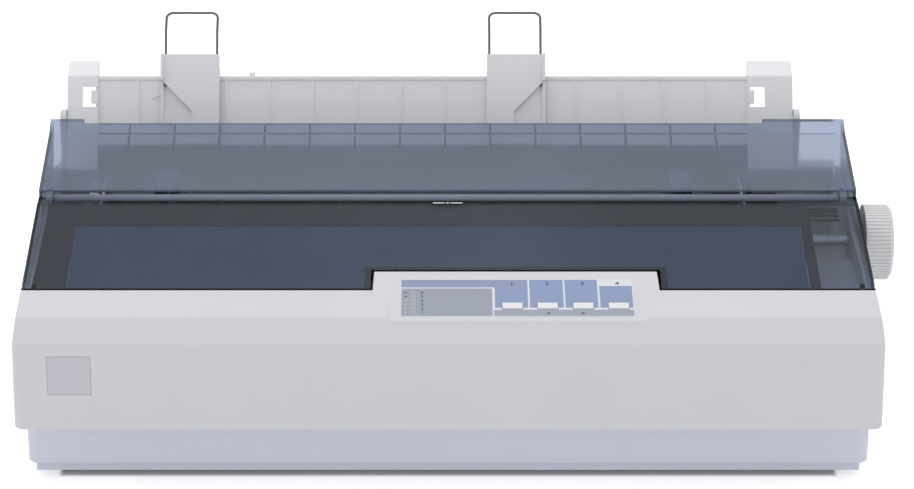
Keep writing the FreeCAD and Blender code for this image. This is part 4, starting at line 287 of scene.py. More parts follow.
# Screws
# Zinc plated steel screws: four long ones from under the tray, and short ones for the frame
# and the panel's board. They have a faint yellow tone and fine turning lines.
line_roughness = 0.25
stain_roughness = 0.3
edge_shine = 1.25
turned_metal, given, result = new_group(
    "turned_metal",
    [("Colour", "Color", (0.6, 0.6, 0.6, 1)), ("Roughness", "Float", 0.35),
     ("Lines", "Float", 900.0), ("Stretch", "Vector", (0.02, 1.0, 1.0)), ("Stain", "Float", 0.2),
     ("Wear", "Float", 0.4)], surface_outputs)
metal_place = add(turned_metal, "ShaderNodeTexCoord").outputs["Object"]
drawn_out = add(turned_metal, "ShaderNodeVectorMath", {0: metal_place, 1: given["Stretch"]},
                operation="MULTIPLY")
lines = add(turned_metal, "ShaderNodeTexNoise",
            {"Vector": drawn_out.outputs[0], "Scale": given["Lines"], "Detail": 3.0})
stain = add(turned_metal, "ShaderNodeTexNoise",
            {"Vector": metal_place, "Scale": 30.0, "Detail": 5.0})
stain_swing = calc(turned_metal, "SUBTRACT", stain.outputs["Fac"], noise_middle)
tone = calc(turned_metal, "ADD", calc(turned_metal, "MULTIPLY", stain_swing, given["Stain"]), 1.0)
toned = add(turned_metal, "ShaderNodeVectorMath", {0: given["Colour"], "Scale": tone},
            operation="SCALE")
shiny = add(turned_metal, "ShaderNodeVectorMath", {0: toned.outputs[0], "Scale": edge_shine},
            operation="SCALE")
edges = add(turned_metal, "ShaderNodeGroup", {"Width": 0.0004, "Amount": given["Wear"]},
            node_tree=edge_wear)
turned_metal.links.new(mixed(turned_metal, edges.outputs["Mask"], toned.outputs[0],
                             shiny.outputs[0]), result["Colour"])
line_swing = calc(turned_metal, "SUBTRACT", lines.outputs["Fac"], noise_middle)
lined = calc(turned_metal, "ADD", given["Roughness"],
             calc(turned_metal, "MULTIPLY", line_swing, line_roughness))
cloud = calc(turned_metal, "MULTIPLY", stain_swing, stain_roughness)
turned_metal.links.new(calc(turned_metal, "ADD", lined, cloud, clamp=True), result["Roughness"])
scored = add(turned_metal, "ShaderNodeBump", {"Height": lines.outputs["Fac"], "Distance": 0.00001})
turned_metal.links.new(scored.outputs["Normal"], result["Normal"])


def metal(name, colour, roughness=0.35, lines=900.0, stretch=(0.02, 1.0, 1.0), stain=0.2, wear=0.4):
    return surfaced(name, turned_metal, {"Colour": colour, "Roughness": roughness, "Lines": lines,
                                         "Stretch": stretch, "Stain": stain, "Wear": wear},
                    {"Metallic": 1.0})


finish(metal("zinc_screw", shade(205, 200, 180), roughness=0.35, lines=2500.0,
             stretch=(1.0, 1.0, 0.05)), "screws")


# Main board and power supply
# Two lacquered circuit boards on stand-offs with moulded chips, two large capacitors, and a
# transformer. The chips' legs, two rows to each chip, are tinned and bent down to the board.
board_left, board_right = -0.235, 0.198
board_front, board_rear = 0.068, 0.226
board_top = 0.0156
chip_shares = ((0.12, 0.25, 0.16, 0.1), (0.45, 0.3, 0.08, 0.2), (0.7, 0.2, 0.12, 0.08),
               (0.3, 0.72, 0.1, 0.12), (0.78, 0.66, 0.07, 0.16))
board_roughness = 0.42
pad_polish = 0.15
pad_reach = 0.16
leg_pitch = 0.00254
leg_width = 0.0008
leg_reach = 0.0016
leg_rise = 0.0018
frame_origin = Vector((0.00985, 0.17032492, -0.0072))

circuit, given, result = new_group(
    "circuit", [("Colour", "Color", (0.02, 0.12, 0.05, 1)), ("Tracks", "Float", 160.0)],
    surface_outputs)
circuit_place = add(circuit, "ShaderNodeTexCoord").outputs["Object"]
bricks = add(circuit, "ShaderNodeTexBrick",
             {"Vector": circuit_place, "Scale": given["Tracks"], "Mortar Size": 0.06,
              "Mortar Smooth": 0.1, "Brick Width": 1.7, "Row Height": 0.42})
pads = add(circuit, "ShaderNodeTexVoronoi", {"Vector": circuit_place, "Scale": 220.0},
           distance="CHEBYCHEV")
pad = calc(circuit, "LESS_THAN", pads.outputs["Distance"], pad_reach)
lacquer = mixed(circuit, bricks.outputs["Fac"], given["Colour"], shade(88, 140, 84))
tinned = mixed(circuit, pad, lacquer, shade(190, 192, 186))
circuit.links.new(tinned, result["Colour"])
pad_gloss = calc(circuit, "MULTIPLY", pad, pad_polish)
circuit.links.new(calc(circuit, "SUBTRACT", board_roughness, pad_gloss), result["Roughness"])
relief = calc(circuit, "MAXIMUM", bricks.outputs["Fac"], pad)
raised = add(circuit, "ShaderNodeBump", {"Height": relief, "Distance": 0.00006})
circuit.links.new(raised.outputs["Normal"], result["Normal"])
finish(surfaced("lacquered_board", circuit, {"Colour": shade(24, 92, 52)}), "main_board",
       "panel_board")
finish(surfaced("power_board", circuit, {"Colour": shade(120, 92, 40), "Tracks": 60.0}),
       "power_supply")


def geometry_tree(name, inputs):
    """A geometry tree with named inputs: (name, kind, value); finish_tree realises its instances.
    """
    made = bpy.data.node_groups.new(name, "GeometryNodeTree")
    made.interface.new_socket(name="Geometry", in_out="INPUT", socket_type="NodeSocketGeometry")
    for label, kind, value in inputs:
        socket = made.interface.new_socket(name=label, in_out="INPUT",
                                           socket_type="NodeSocket" + kind)
        socket.default_value = value
    made.interface.new_socket(name="Geometry", in_out="OUTPUT", socket_type="NodeSocketGeometry")
    entries = made.nodes.new("NodeGroupInput").outputs
    return made, entries, made.nodes.new("NodeGroupOutput").inputs


def finish_tree(made, geometry, material, target):
    """Realise the instances and give them the material."""
    solid = add(made, "GeometryNodeRealizeInstances", {"Geometry": geometry})
    coloured = add(made, "GeometryNodeSetMaterial",
                   {"Geometry": solid.outputs[0], "Material": material})
    made.links.new(coloured.outputs[0], target)


def grown(name, tree, values, seed_mesh=None):
    """The plain mesh that a geometry tree makes with these input values, as a new object."""
    seed = bpy.data.objects.new(name + "_seed", seed_mesh or bpy.data.meshes.new(name + "_seed"))
    bpy.context.scene.collection.objects.link(seed)
    modifier = seed.modifiers.new("grow", "NODES")
    modifier.node_group = tree
    for socket in tree.interface.items_tree:
        if socket.item_type == "SOCKET" and socket.in_out == "INPUT" and socket.name in values:
            modifier[socket.identifier] = values[socket.name]
    bpy.context.view_layer.update()
    depsgraph = bpy.context.evaluated_depsgraph_get()
    mesh = bpy.data.meshes.new_from_object(seed.evaluated_get(depsgraph))
    mesh.name = name
    bpy.data.objects.remove(seed)
    made = bpy.data.objects.new(name, mesh)
    bpy.context.scene.collection.objects.link(made)
    return made


def closed_mesh(name, shape):
    """A mesh from a bmesh, with its doubles merged and its faces turned outwards."""
    bmesh.ops.remove_doubles(shape, verts=shape.verts, dist=1e-7)
    bmesh.ops.recalc_face_normals(shape, faces=shape.faces)
    mesh = bpy.data.meshes.new(name)
    shape.to_mesh(mesh)
    shape.free()
    return mesh


def box_into(shape, low, high):
    """Add a box between two corners to a bmesh and return its corners."""
    corners = [shape.verts.new((x, y, z)) for x in (low[0], high[0]) for y in (low[1], high[1])
               for z in (low[2], high[2])]
    for face in ((0, 1, 3, 2), (4, 6, 7, 5), (0, 4, 5, 1), (2, 3, 7, 6), (0, 2, 6, 4),
                 (1, 5, 7, 3)):
        shape.faces.new([corners[i] for i in face])
    return corners


def placed(name, mesh, body, material):
    """An object of this mesh and material that rides on a body."""
    made = bpy.data.objects.new(name, mesh)
    bpy.context.scene.collection.objects.link(made)
    mesh.materials.append(material)
    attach(made, body)
    return made


leg_tree, given, result = geometry_tree(
    "chip_legs",
    [("Pitch", "Float", leg_pitch), ("Reach", "Float", leg_reach), ("Width", "Float", leg_width),
     ("Rise", "Float", leg_rise)])
leg_size = add(leg_tree, "ShaderNodeCombineXYZ",
               {"X": given["Width"], "Y": given["Reach"], "Z": given["Rise"]})
leg = add(leg_tree, "GeometryNodeMeshCube", {"Size": leg_size.outputs[0]})
along = add(leg_tree, "GeometryNodeMeshToCurve", {"Mesh": given["Geometry"]})
feet = add(leg_tree, "GeometryNodeResampleCurve",
           {"Curve": along.outputs[0], "Length": given["Pitch"]}, mode="LENGTH")
legs = add(leg_tree, "GeometryNodeInstanceOnPoints",
           {"Points": feet.outputs[0], "Instance": leg.outputs[0]})
tinned_leg = metal("tinned_leg", shade(200, 202, 205), roughness=0.3, lines=1500.0)
finish_tree(leg_tree, legs.outputs[0], tinned_leg, result["Geometry"])

board_width, board_depth = board_right - board_left, board_rear - board_front
rows = bmesh.new()
for left, front, width, depth in chip_shares:
    x0 = board_left + left * board_width
    y0 = board_front + front * board_depth
    across = depth * board_depth
    for y in (y0 - leg_reach / 2, y0 + across + leg_reach / 2):
        rows.edges.new([rows.verts.new(Vector((x, y, board_top + leg_rise / 2)) - frame_origin)
                        for x in (x0 + leg_pitch, x0 + width * board_width - leg_pitch)])
row_mesh = bpy.data.meshes.new("chip_rows")
rows.to_mesh(row_mesh)
rows.free()
chip_legs = grown("chip_legs", leg_tree,
                  {"Pitch": leg_pitch, "Reach": leg_reach, "Width": leg_width, "Rise": leg_rise},
                  row_mesh)
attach(chip_legs, "base")


# Mains inlet, power switch and data socket
# Black mouldings in the rear wall. The data socket has 18 gilt contacts along each side of
# its tongue, and the switch's rocker is glossier than its housing.
contact_pitch = 0.0027
contact_size = (0.0009, 0.006, 0.0003)
contact_count = 18
contact_inset = 0.0048
contact_rise = 0.00172
finish(moulded_plastic("socket_black", shade(38, 38, 41), roughness=0.5, grain=1600.0,
                       depth=0.00004, mottle=0.2, wear=0.3), "mains_inlet", "data_connector")
finish(moulded_plastic("rocker_black", shade(30, 30, 32), roughness=0.28, grain=3000.0,
                       depth=0.00001, mottle=0.1, wear=0.4), "power_rocker")
contact_tree, given, result = geometry_tree(
    "contacts", [("Count", "Int", contact_count), ("Pitch", "Float", contact_pitch),
                 ("Size", "Vector", contact_size), ("Start", "Vector", (0, 0, 0))])
contact_step = add(contact_tree, "ShaderNodeCombineXYZ", {"X": given["Pitch"]})
contact_row = add(contact_tree, "GeometryNodeMeshLine",
                  {"Count": given["Count"], "Start Location": given["Start"],
                   "Offset": contact_step.outputs[0]})
strip = add(contact_tree, "GeometryNodeMeshCube", {"Size": given["Size"]})
strips = add(contact_tree, "GeometryNodeInstanceOnPoints", {"Points": contact_row.outputs[0],
                                                           "Instance": strip.outputs[0]})
gilt = metal("gilt_contact", shade(214, 178, 98), roughness=0.28, lines=2000.0,
             stretch=(1.0, 0.05, 1.0))
finish_tree(contact_tree, strips.outputs[0], gilt, result["Geometry"])
socket_low, socket_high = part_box("data_connector")
socket_middle = (socket_low + socket_high) / 2
for side in (-1, 1):
    start = Vector((socket_middle.x - contact_pitch * (contact_count - 1) / 2,
                    socket_high.y - contact_inset, socket_middle.z + side * contact_rise))
    contacts = grown(f"socket_contacts_{'low' if side < 0 else 'high'}", contact_tree,
                     {"Count": contact_count, "Pitch": contact_pitch, "Size": contact_size,
                      "Start": start})
    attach(contacts, "base")


# Steel side frames and cross beams
# Pressed from zinc coated sheet, with the faint spangle of the coating and dull cut edges.
flake_tone = 0.16
flake_roughness = 0.2
cut_edge = shade(140, 138, 134)
spangled, given, result = new_group(
    "spangled",
    [("Colour", "Color", (0.5, 0.5, 0.5, 1)), ("Flake", "Float", 120.0),
     ("Roughness", "Float", 0.42)], surface_outputs)
sheet_place = add(spangled, "ShaderNodeTexCoord").outputs["Object"]
flakes = add(spangled, "ShaderNodeTexVoronoi", {"Vector": sheet_place, "Scale": given["Flake"]})
flake_value = add(spangled, "ShaderNodeSeparateColor", {0: flakes.outputs["Color"]}).outputs[0]
flake_swing = calc(spangled, "SUBTRACT", flake_value, noise_middle)
lift = calc(spangled, "ADD", calc(spangled, "MULTIPLY", flake_swing, flake_tone), 1.0)
flaked = add(spangled, "ShaderNodeVectorMath", {0: given["Colour"], "Scale": lift},
             operation="SCALE")
edges = add(spangled, "ShaderNodeGroup", {"Amount": 0.6}, node_tree=edge_wear)
spangled.links.new(mixed(spangled, edges.outputs["Mask"], flaked.outputs[0], cut_edge),
                   result["Colour"])
flake_dull = calc(spangled, "MULTIPLY", flake_swing, flake_roughness)
spangled.links.new(calc(spangled, "ADD", given["Roughness"], flake_dull), result["Roughness"])
rolled = add(spangled, "ShaderNodeBump", {"Height": flake_value, "Distance": 0.00001})
spangled.links.new(rolled.outputs["Normal"], result["Normal"])
zinc_sheet = surfaced("zinc_sheet", spangled, {"Colour": shade(186, 188, 190)}, {"Metallic": 1.0})
finish(zinc_sheet, "left_side_frame", "right_side_frame", "cross_beams")


# Platen and its gears
# A steel shaft and tube carry a ground black rubber sleeve. Bushes and gears are moulded in
# white acetal, smooth and slightly waxy, with a brass pinion on the motor.
finish(moulded_plastic("platen_rubber", shade(44, 44, 47), roughness=0.62, grain=5200.0,
                       depth=0.00002, mottle=0.15, wear=0.2), "platen_roller")
ground_steel = metal("ground_steel", shade(214, 214, 216), roughness=0.24, lines=1800.0,
                     stretch=(1.0, 0.04, 0.04), stain=0.12)
finish(ground_steel, "platen_shaft", "carriage_shaft", "tractor_guide_shaft", "tractor_drive_shaft")
acetal = moulded_plastic("white_acetal", shade(226, 224, 212), roughness=0.36, grain=700.0,
                         depth=0.00001, mottle=0.05, wear=0.25)
finish(acetal, "platen_gear", "reduction_gear", "idler_gear", "platen_bushes")
finish(metal("cut_brass", shade(196, 164, 96), roughness=0.32, lines=2200.0,
             stretch=(0.05, 1.0, 1.0)), "motor_pinion")


# Motors
# Two stepper motors, one for the paper feed and one for the carriage, in a dark satin paint.
finish(surfaced("motor_paint", turned_metal,
                {"Colour": shade(72, 72, 76), "Roughness": 0.42, "Lines": 1400.0,
                 "Stretch": (1.0, 1.0, 0.1), "Stain": 0.25}, {"Metallic": 0.6}), "feed_motor",
       "carriage_motor")


# Pressure rollers and paper pan
# Rubber rollers under the platen, in windows of a bent steel pan that leads the paper round.
finish(moulded_plastic("roller_rubber", shade(60, 60, 62), roughness=0.7, grain=3000.0,
                       depth=0.00003, mottle=0.2, wear=0.2), "pressure_rollers")
finish(metal("pan_steel", shade(176, 178, 182), roughness=0.34, lines=700.0,
             stretch=(0.03, 1.0, 1.0)), "paper_pan")


# Tractors
# Grey-blue bodies with hinged lids, natural white sprocket wheels and blue levers that lock
# them to their shaft. The release lever and the gap lever are moulded in the same blue.
finish(moulded_plastic("tractor_plastic", shade(92, 98, 112), roughness=0.45, grain=1800.0,
                       depth=0.00003, mottle=0.1, wear=0.4), "left_tractor", "right_tractor")
finish(moulded_plastic("lid_plastic", shade(128, 134, 148), roughness=0.4, grain=1800.0,
                       depth=0.00003, mottle=0.1, wear=0.5), "left_tractor_lid",
       "right_tractor_lid")
finish(moulded_plastic("sprocket_plastic", shade(222, 222, 214), roughness=0.36, grain=900.0,
                       depth=0.00001, mottle=0.05, wear=0.3), "left_sprocket", "right_sprocket")
finish(moulded_plastic("lever_plastic", shade(70, 104, 158), roughness=0.42, grain=1800.0,
                       depth=0.00003, mottle=0.1, wear=0.5), "left_lock_lever", "right_lock_lever",
       "release_lever", "gap_lever")


# Carriage and print head
# A moulded dark grey carriage on its steel shaft carries the print head, a dark casting with
# cooling fins, and a thin bright mask that keeps the ribbon off the paper.
flow_tone = 0.35
flow_roughness = 0.3
bare_edge = shade(176, 176, 178)
cast_metal, given, result = new_group(
    "cast_metal",
    [("Colour", "Color", (0.2, 0.2, 0.2, 1)), ("Roughness", "Float", 0.5),
     ("Pits", "Float", 1100.0)], surface_outputs)
cast_place = add(cast_metal, "ShaderNodeTexCoord").outputs["Object"]
pits = add(cast_metal, "ShaderNodeTexNoise",
           {"Vector": cast_place, "Scale": given["Pits"], "Detail": 6.0})
flow = add(cast_metal, "ShaderNodeTexNoise", {"Vector": cast_place, "Scale": 45.0, "Detail": 4.0})
flow_swing = calc(cast_metal, "SUBTRACT", flow.outputs["Fac"], noise_middle)
cast_tone = calc(cast_metal, "ADD", calc(cast_metal, "MULTIPLY", flow_swing, flow_tone), 1.0)
cast_body = add(cast_metal, "ShaderNodeVectorMath", {0: given["Colour"], "Scale": cast_tone},
                operation="SCALE")
edges = add(cast_metal, "ShaderNodeGroup", {"Amount": 0.8}, node_tree=edge_wear)
cast_metal.links.new(mixed(cast_metal, edges.outputs["Mask"], cast_body.outputs[0], bare_edge),
                     result["Colour"])
flow_dull = calc(cast_metal, "MULTIPLY", flow_swing, flow_roughness)
cast_metal.links.new(calc(cast_metal, "ADD", given["Roughness"], flow_dull), result["Roughness"])
pitted = add(cast_metal, "ShaderNodeBump", {"Height": pits.outputs["Fac"], "Distance": 0.00006})
cast_metal.links.new(pitted.outputs["Normal"], result["Normal"])
finish(surfaced("cast_head", cast_metal, {"Colour": shade(96, 97, 100)}, {"Metallic": 0.8}),
       "print_head")
finish(moulded_plastic("carriage_plastic", shade(58, 58, 62), roughness=0.5, grain=1500.0,
                       depth=0.00004, mottle=0.15, wear=0.5), "carriage_frame")
finish(metal("mask_steel", shade(222, 222, 222), roughness=0.18, lines=2600.0,
             stretch=(0.02, 1.0, 1.0), stain=0.08), "ribbon_mask")


# Timing belt and pulleys
# A black toothed belt runs round a driven pulley on the left and an idler on the right and
# pulls the carriage along. The teeth of its front run point inwards.
tooth_pitch = 0.00508
tooth_size = (0.0022, 0.0008, 0.0054)
belt_ends = (-0.2, 0.178)
belt_thick = 0.0012
belt_rubber = moulded_plastic("belt_rubber", shade(40, 40, 42), roughness=0.7, grain=2500.0,
                              depth=0.00003, mottle=0.2, wear=0.2)
finish(belt_rubber, "timing_belt")
finish(acetal, "drive_pulley", "idler_pulley")
tooth_tree, given, result = geometry_tree(
    "belt_teeth",
    [("Count", "Int", 2), ("Pitch", "Float", tooth_pitch), ("Size", "Vector", tooth_size),
     ("Start", "Vector", (0, 0, 0))])
tooth_step = add(tooth_tree, "ShaderNodeCombineXYZ", {"X": given["Pitch"]})
tooth_row = add(tooth_tree, "GeometryNodeMeshLine",
                {"Count": given["Count"], "Start Location": given["Start"],
                 "Offset": tooth_step.outputs[0]})
tooth = add(tooth_tree, "GeometryNodeMeshCube", {"Size": given["Size"]})
teeth = add(tooth_tree, "GeometryNodeInstanceOnPoints", {"Points": tooth_row.outputs[0],
                                                        "Instance": tooth.outputs[0]})
finish_tree(tooth_tree, teeth.outputs[0], belt_rubber, result["Geometry"])
belt_low, belt_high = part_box("timing_belt")
first_tooth = Vector((belt_ends[0] - frame_origin.x, belt_low.y + belt_thick + tooth_size[1] / 2,
                      (belt_low.z + belt_high.z) / 2))
belt_teeth = grown("belt_teeth", tooth_tree,
                   {"Count": int((belt_ends[1] - belt_ends[0]) / tooth_pitch), "Pitch": tooth_pitch,
                    "Size": tooth_size, "Start": first_tooth})
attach(belt_teeth, "base")


# Ribbon cartridge
# A long black box that clips on in front of the platen, with the inked nylon ribbon across
# between its two arms and a ribbed winding knob on top.
ink_floor = 0.5
nylon_roughness = 0.9
thread_polish = 0.2
weave, given, result = new_group(
    "nylon_weave", [("Colour", "Color", (0.02, 0.02, 0.02, 1)), ("Threads", "Float", 3000.0)],
    surface_outputs)
weave_place = add(weave, "ShaderNodeTexCoord").outputs["Object"]
warp = add(weave, "ShaderNodeTexWave", {"Vector": weave_place, "Scale": given["Threads"]},
           bands_direction="X")
weft = add(weave, "ShaderNodeTexWave", {"Vector": weave_place, "Scale": given["Threads"]},
           bands_direction="Z")
threads = calc(weave, "MAXIMUM", warp.outputs["Fac"], weft.outputs["Fac"])
ink = add(weave, "ShaderNodeTexNoise", {"Vector": weave_place, "Scale": 90.0})
ink_amount = calc(weave, "ADD", ink.outputs["Fac"], ink_floor)
inked = add(weave, "ShaderNodeVectorMath", {0: given["Colour"], "Scale": ink_amount},
            operation="SCALE")
weave.links.new(inked.outputs[0], result["Colour"])
thread_gloss = calc(weave, "MULTIPLY", threads, thread_polish)
weave.links.new(calc(weave, "SUBTRACT", nylon_roughness, thread_gloss), result["Roughness"])
woven = add(weave, "ShaderNodeBump", {"Height": threads, "Distance": 0.00005})
weave.links.new(woven.outputs["Normal"], result["Normal"])
finish(surfaced("inked_nylon", weave, {"Colour": shade(40, 38, 46)}), "ink_ribbon")
finish(moulded_plastic("cartridge_black", shade(46, 46, 50), roughness=0.42, grain=1500.0,
                       depth=0.00005, mottle=0.2, wear=0.5), "ribbon_cartridge")
finish(moulded_plastic("ribbon_knob_blue", shade(84, 122, 176), roughness=0.4, grain=1800.0,
                       depth=0.00003, mottle=0.1, wear=0.6), "ribbon_knob")


# Upper casing
# The large pale grey cover moulding: front face, deck, side walls and rear, with the panel's
# raised box, and a thin silver plate in the recess on the front.
finish(moulded_plastic("casing_plastic", shade(222, 222, 226)), "upper_case")
plate_edges = (-0.2719, -0.2427)
plate_ends = ((0.0671, -0.00088), (0.0949, -0.00022))
plate_faces = (0.00028, 0.00066)
plate = bmesh.new()
for corner in box_into(plate, (plate_edges[0], 0, 0), (plate_edges[1], 1, 1)):
    height, lean = plate_ends[round(corner.co.z)]
    corner.co = Vector((corner.co.x, lean + plate_faces[round(corner.co.y)], height)) - frame_origin
name_plate = placed("name_plate", closed_mesh("name_plate", plate), "base",
                    moulded_plastic("plate_silver", shade(206, 206, 216), roughness=0.35,
                                    grain=3200.0, depth=0.00001, mottle=0.04, wear=0.3))


# Control panel
# A printed film on the raised box: a grey field with the lamps on the left, four blue button
# fields between white dividers, and a grey strip under them. Places on it are in millimetres.
panel_front = Vector((0, 0.012646, 0.117822))
panel_rise, panel_depth = 0.0118957, 0.0563
millimetre = 0.001
film_top = 0.3
print_height = 0.05
button_middles = (43.5, 67.5, 91.7, 115.8)
button_hole = (7.2, 9.6, 16.4)
field_edges = ((31.7, 54.2), (55.5, 78.5), (79.7, 102.0), (103.4, 125.7))
field_tops = (35.2, 44.0, 44.0, 36.8)
field_low = 11.9
lamp_low, lamp_pitch, lamp_count = 6.3, 4.55, 6
lamp_column = -24.0
lamp_half = 1.3
lamp_field_edges = (-32.2, 29.9)
lamp_field_low, lamp_field_top = 2.5, 33.9
top_band = (-32.2, 54.2, 35.2, 44.0)
lower_strip = (30.8, 126.0, 2.5, 9.5)
strip_arrows = [(66.2, 5.6, 2.6), (93.0, 5.6, -2.6)]
arrow_half = 1.0
mark_column = -29.2
dark_mark_half = (0.8, 0.5)
pale_mark_half = (0.6, 0.5)
pale_marks = 4
number_height = 4.2
font_scale = 1.4
number_layer = 1.5
number_rise = 3.6
number_ceiling = 36.0
lamp_number_share = 0.66
lamp_number_reach = 6.0
name_shift = 100
lamp_rows = [lamp_low + lamp_pitch * row for row in range(lamp_count)]
panel_place = (Matrix.Translation(panel_front - frame_origin)
               @ Matrix.Rotation(math.atan2(panel_rise, panel_depth), 4, "X")
               @ Matrix.Scale(millimetre, 4))


def printed_patches(name, rectangles, colour, lift=0.0, arrows=()):
    """Printed areas on the panel's film, each (left, right, low, high) in mm up its slope."""
    shape = bmesh.new()
    low_face = film_top + lift
    for left, right, low, high in rectangles:
        box_into(shape, (left, low, low_face), (right, high, low_face + print_height))
    for tip, height, reach in arrows:
        corners = ((tip, height), (tip + reach, height - arrow_half),
                   (tip + reach, height + arrow_half))
        lower = [shape.verts.new((x, y, low_face)) for x, y in corners]
        upper = [shape.verts.new((x, y, low_face + print_height)) for x, y in corners]
        shape.faces.new(lower)
        shape.faces.new(upper)
        for i in range(len(corners)):
            shape.faces.new((lower[i], lower[i - 2], upper[i - 2], upper[i]))
    shape.transform(panel_place)
    piece = placed(name, closed_mesh(name, shape), "base",
                   moulded_plastic(name + "_ink", colour, roughness=0.4, grain=3500.0,
                                   depth=0.00001, mottle=0.04, wear=0.0))


def printed_number(text, x, up, height, ink):
    """A number printed on the panel's film, centred on a place in mm."""
    letters = bpy.data.curves.new(f"number_{text}_curve", "FONT")
    letters.body = text
    letters.size = height * font_scale
    letters.align_x = "CENTER"
    letters.align_y = "CENTER"
    letters.extrude = print_height / 2
    flat = bpy.data.objects.new("number", letters)
    bpy.context.scene.collection.objects.link(flat)
    bpy.context.view_layer.update()
    depsgraph = bpy.context.evaluated_depsgraph_get()
    mesh = bpy.data.meshes.new_from_object(flat.evaluated_get(depsgraph))
    bpy.data.objects.remove(flat)
    mesh.materials.clear()
    mesh.transform(panel_place
                   @ Matrix.Translation((x, up, film_top + print_height * number_layer)))
    piece = placed(f"panel_number_{text}_at_{round(x + name_shift)}_{round(up)}", mesh, "base", ink)


finish(moulded_plastic("film_white", shade(231, 232, 238), roughness=0.4, grain=3500.0,
                       depth=0.00001, mottle=0.03, wear=0.2), "panel_label")
finish(moulded_plastic("lamp_lens", shade(180, 190, 178), roughness=0.2, grain=900.0, depth=0.00001,
                       mottle=0.1, wear=0.1), "indicator_lamps")
finish(moulded_plastic("button_plastic", shade(240, 240, 243), roughness=0.38, grain=2600.0,
                       depth=0.00002, mottle=0.03, wear=0.5), "panel_button_1", "panel_button_2",
       "panel_button_3", "panel_button_4")
fields = []
for middle, (left, right), top in zip(button_middles, field_edges, field_tops):
    half, hole_low, hole_high = button_hole
    fields += [(left, middle - half, field_low, hole_high),
               (middle + half, right, field_low, hole_high), (left, right, hole_high, top)]
lamp_field = [(lamp_field_edges[0], lamp_column - lamp_half, lamp_field_low, lamp_field_top),
              (lamp_column + lamp_half, lamp_field_edges[1], lamp_field_low, lamp_field_top)]
lamp_edges = [edge for row in lamp_rows for edge in (row - lamp_half, row + lamp_half)]
gaps = [lamp_field_low] + lamp_edges + [lamp_field_top]
lamp_field += [(lamp_column - lamp_half, lamp_column + lamp_half, low, high)
               for low, high in zip(gaps[::2], gaps[1::2])]
printed_patches("print_button_fields", fields, shade(148, 164, 200))
printed_patches("print_top_band", [top_band], shade(150, 163, 194))
printed_patches("print_lamp_field", lamp_field, shade(164, 169, 185))
printed_patches("print_lower_strip", [lower_strip], shade(168, 173, 189))
printed_patches("print_dark_marks",
                [(mark_column - dark_mark_half[0], mark_column + dark_mark_half[0],
                  row - dark_mark_half[1], row + dark_mark_half[1])
                 for row in lamp_rows[pale_marks:]], shade(52, 56, 70), print_height, strip_arrows)
printed_patches("print_pale_marks",
                [(mark_column - pale_mark_half[0], mark_column + pale_mark_half[0],
                  row - pale_mark_half[1], row + pale_mark_half[1])
                 for row in lamp_rows[:pale_marks]], shade(206, 214, 204), print_height)
number_ink = moulded_plastic("number_ink", shade(52, 58, 84), roughness=0.4, grain=3500.0,
                             depth=0.00001, mottle=0.04, wear=0.0)
for number, (middle, top) in enumerate(zip(button_middles, field_tops), 1):
    printed_number(str(number), middle, min(top, number_ceiling) + number_rise, number_height,
                   number_ink)
for number, row in enumerate(lamp_rows, 1):
    printed_number(str(number), lamp_column + lamp_number_reach, row,
                   number_height * lamp_number_share, number_ink)


# Platen knob
# A pale grey hollow knob with fine ribs, pushed on the right end of the platen's shaft.
finish(moulded_plastic("knob_plastic", shade(226, 227, 229), roughness=0.45, grain=2200.0,
                       depth=0.00003, mottle=0.05, wear=0.5), "platen_knob")


# Printer cover
# The front smoke cover: one thin moulding in clear dark blue-grey plastic, glossy outside,
# with a hinge at its front and the exit flap along its rear edge.
scuff_stretch = (1.0, 9.0, 9.0)
scuff_floor = 0.45
haze_roughness = 0.05
edge_roughness = 0.2
tint_floor, tint_haze = 0.94, 0.12
glossy_sheet, given, result = new_group(
    "glossy_sheet",
    [("Colour", "Color", (0.1, 0.12, 0.16, 1)), ("Roughness", "Float", 0.08),
     ("Scuffs", "Float", 0.12)], surface_outputs)
sheet_place = add(glossy_sheet, "ShaderNodeTexCoord").outputs["Object"]
drawn = add(glossy_sheet, "ShaderNodeVectorMath", {0: sheet_place, 1: scuff_stretch},
            operation="MULTIPLY")
scuff = add(glossy_sheet, "ShaderNodeTexNoise",
            {"Vector": drawn.outputs[0], "Scale": 60.0, "Detail": 8.0})
haze = add(glossy_sheet, "ShaderNodeTexNoise", {"Vector": sheet_place, "Scale": 9.0, "Detail": 2.0})
scratched = calc(glossy_sheet, "SUBTRACT", scuff.outputs["Fac"], scuff_floor, clamp=True)
scuffed = calc(glossy_sheet, "ADD", given["Roughness"],
               calc(glossy_sheet, "MULTIPLY", scratched, given["Scuffs"]))
hazed = calc(glossy_sheet, "MULTIPLY", haze.outputs["Fac"], haze_roughness)
edges = add(glossy_sheet, "ShaderNodeGroup", {"Amount": 0.4}, node_tree=edge_wear)
dull_edge = calc(glossy_sheet, "MULTIPLY", edges.outputs["Mask"], edge_roughness)
dulled = calc(glossy_sheet, "ADD", hazed, dull_edge)
glossy_sheet.links.new(calc(glossy_sheet, "ADD", scuffed, dulled, clamp=True), result["Roughness"])
tint_swing = calc(glossy_sheet, "ADD",
                  calc(glossy_sheet, "MULTIPLY", haze.outputs["Fac"], tint_haze), tint_floor)
tinted = add(glossy_sheet, "ShaderNodeVectorMath", {0: given["Colour"], "Scale": tint_swing},
             operation="SCALE")
glossy_sheet.links.new(tinted.outputs[0], result["Colour"])
wavy = add(glossy_sheet, "ShaderNodeBump", {"Height": haze.outputs["Fac"], "Distance": 0.0003})
glossy_sheet.links.new(wavy.outputs["Normal"], result["Normal"])


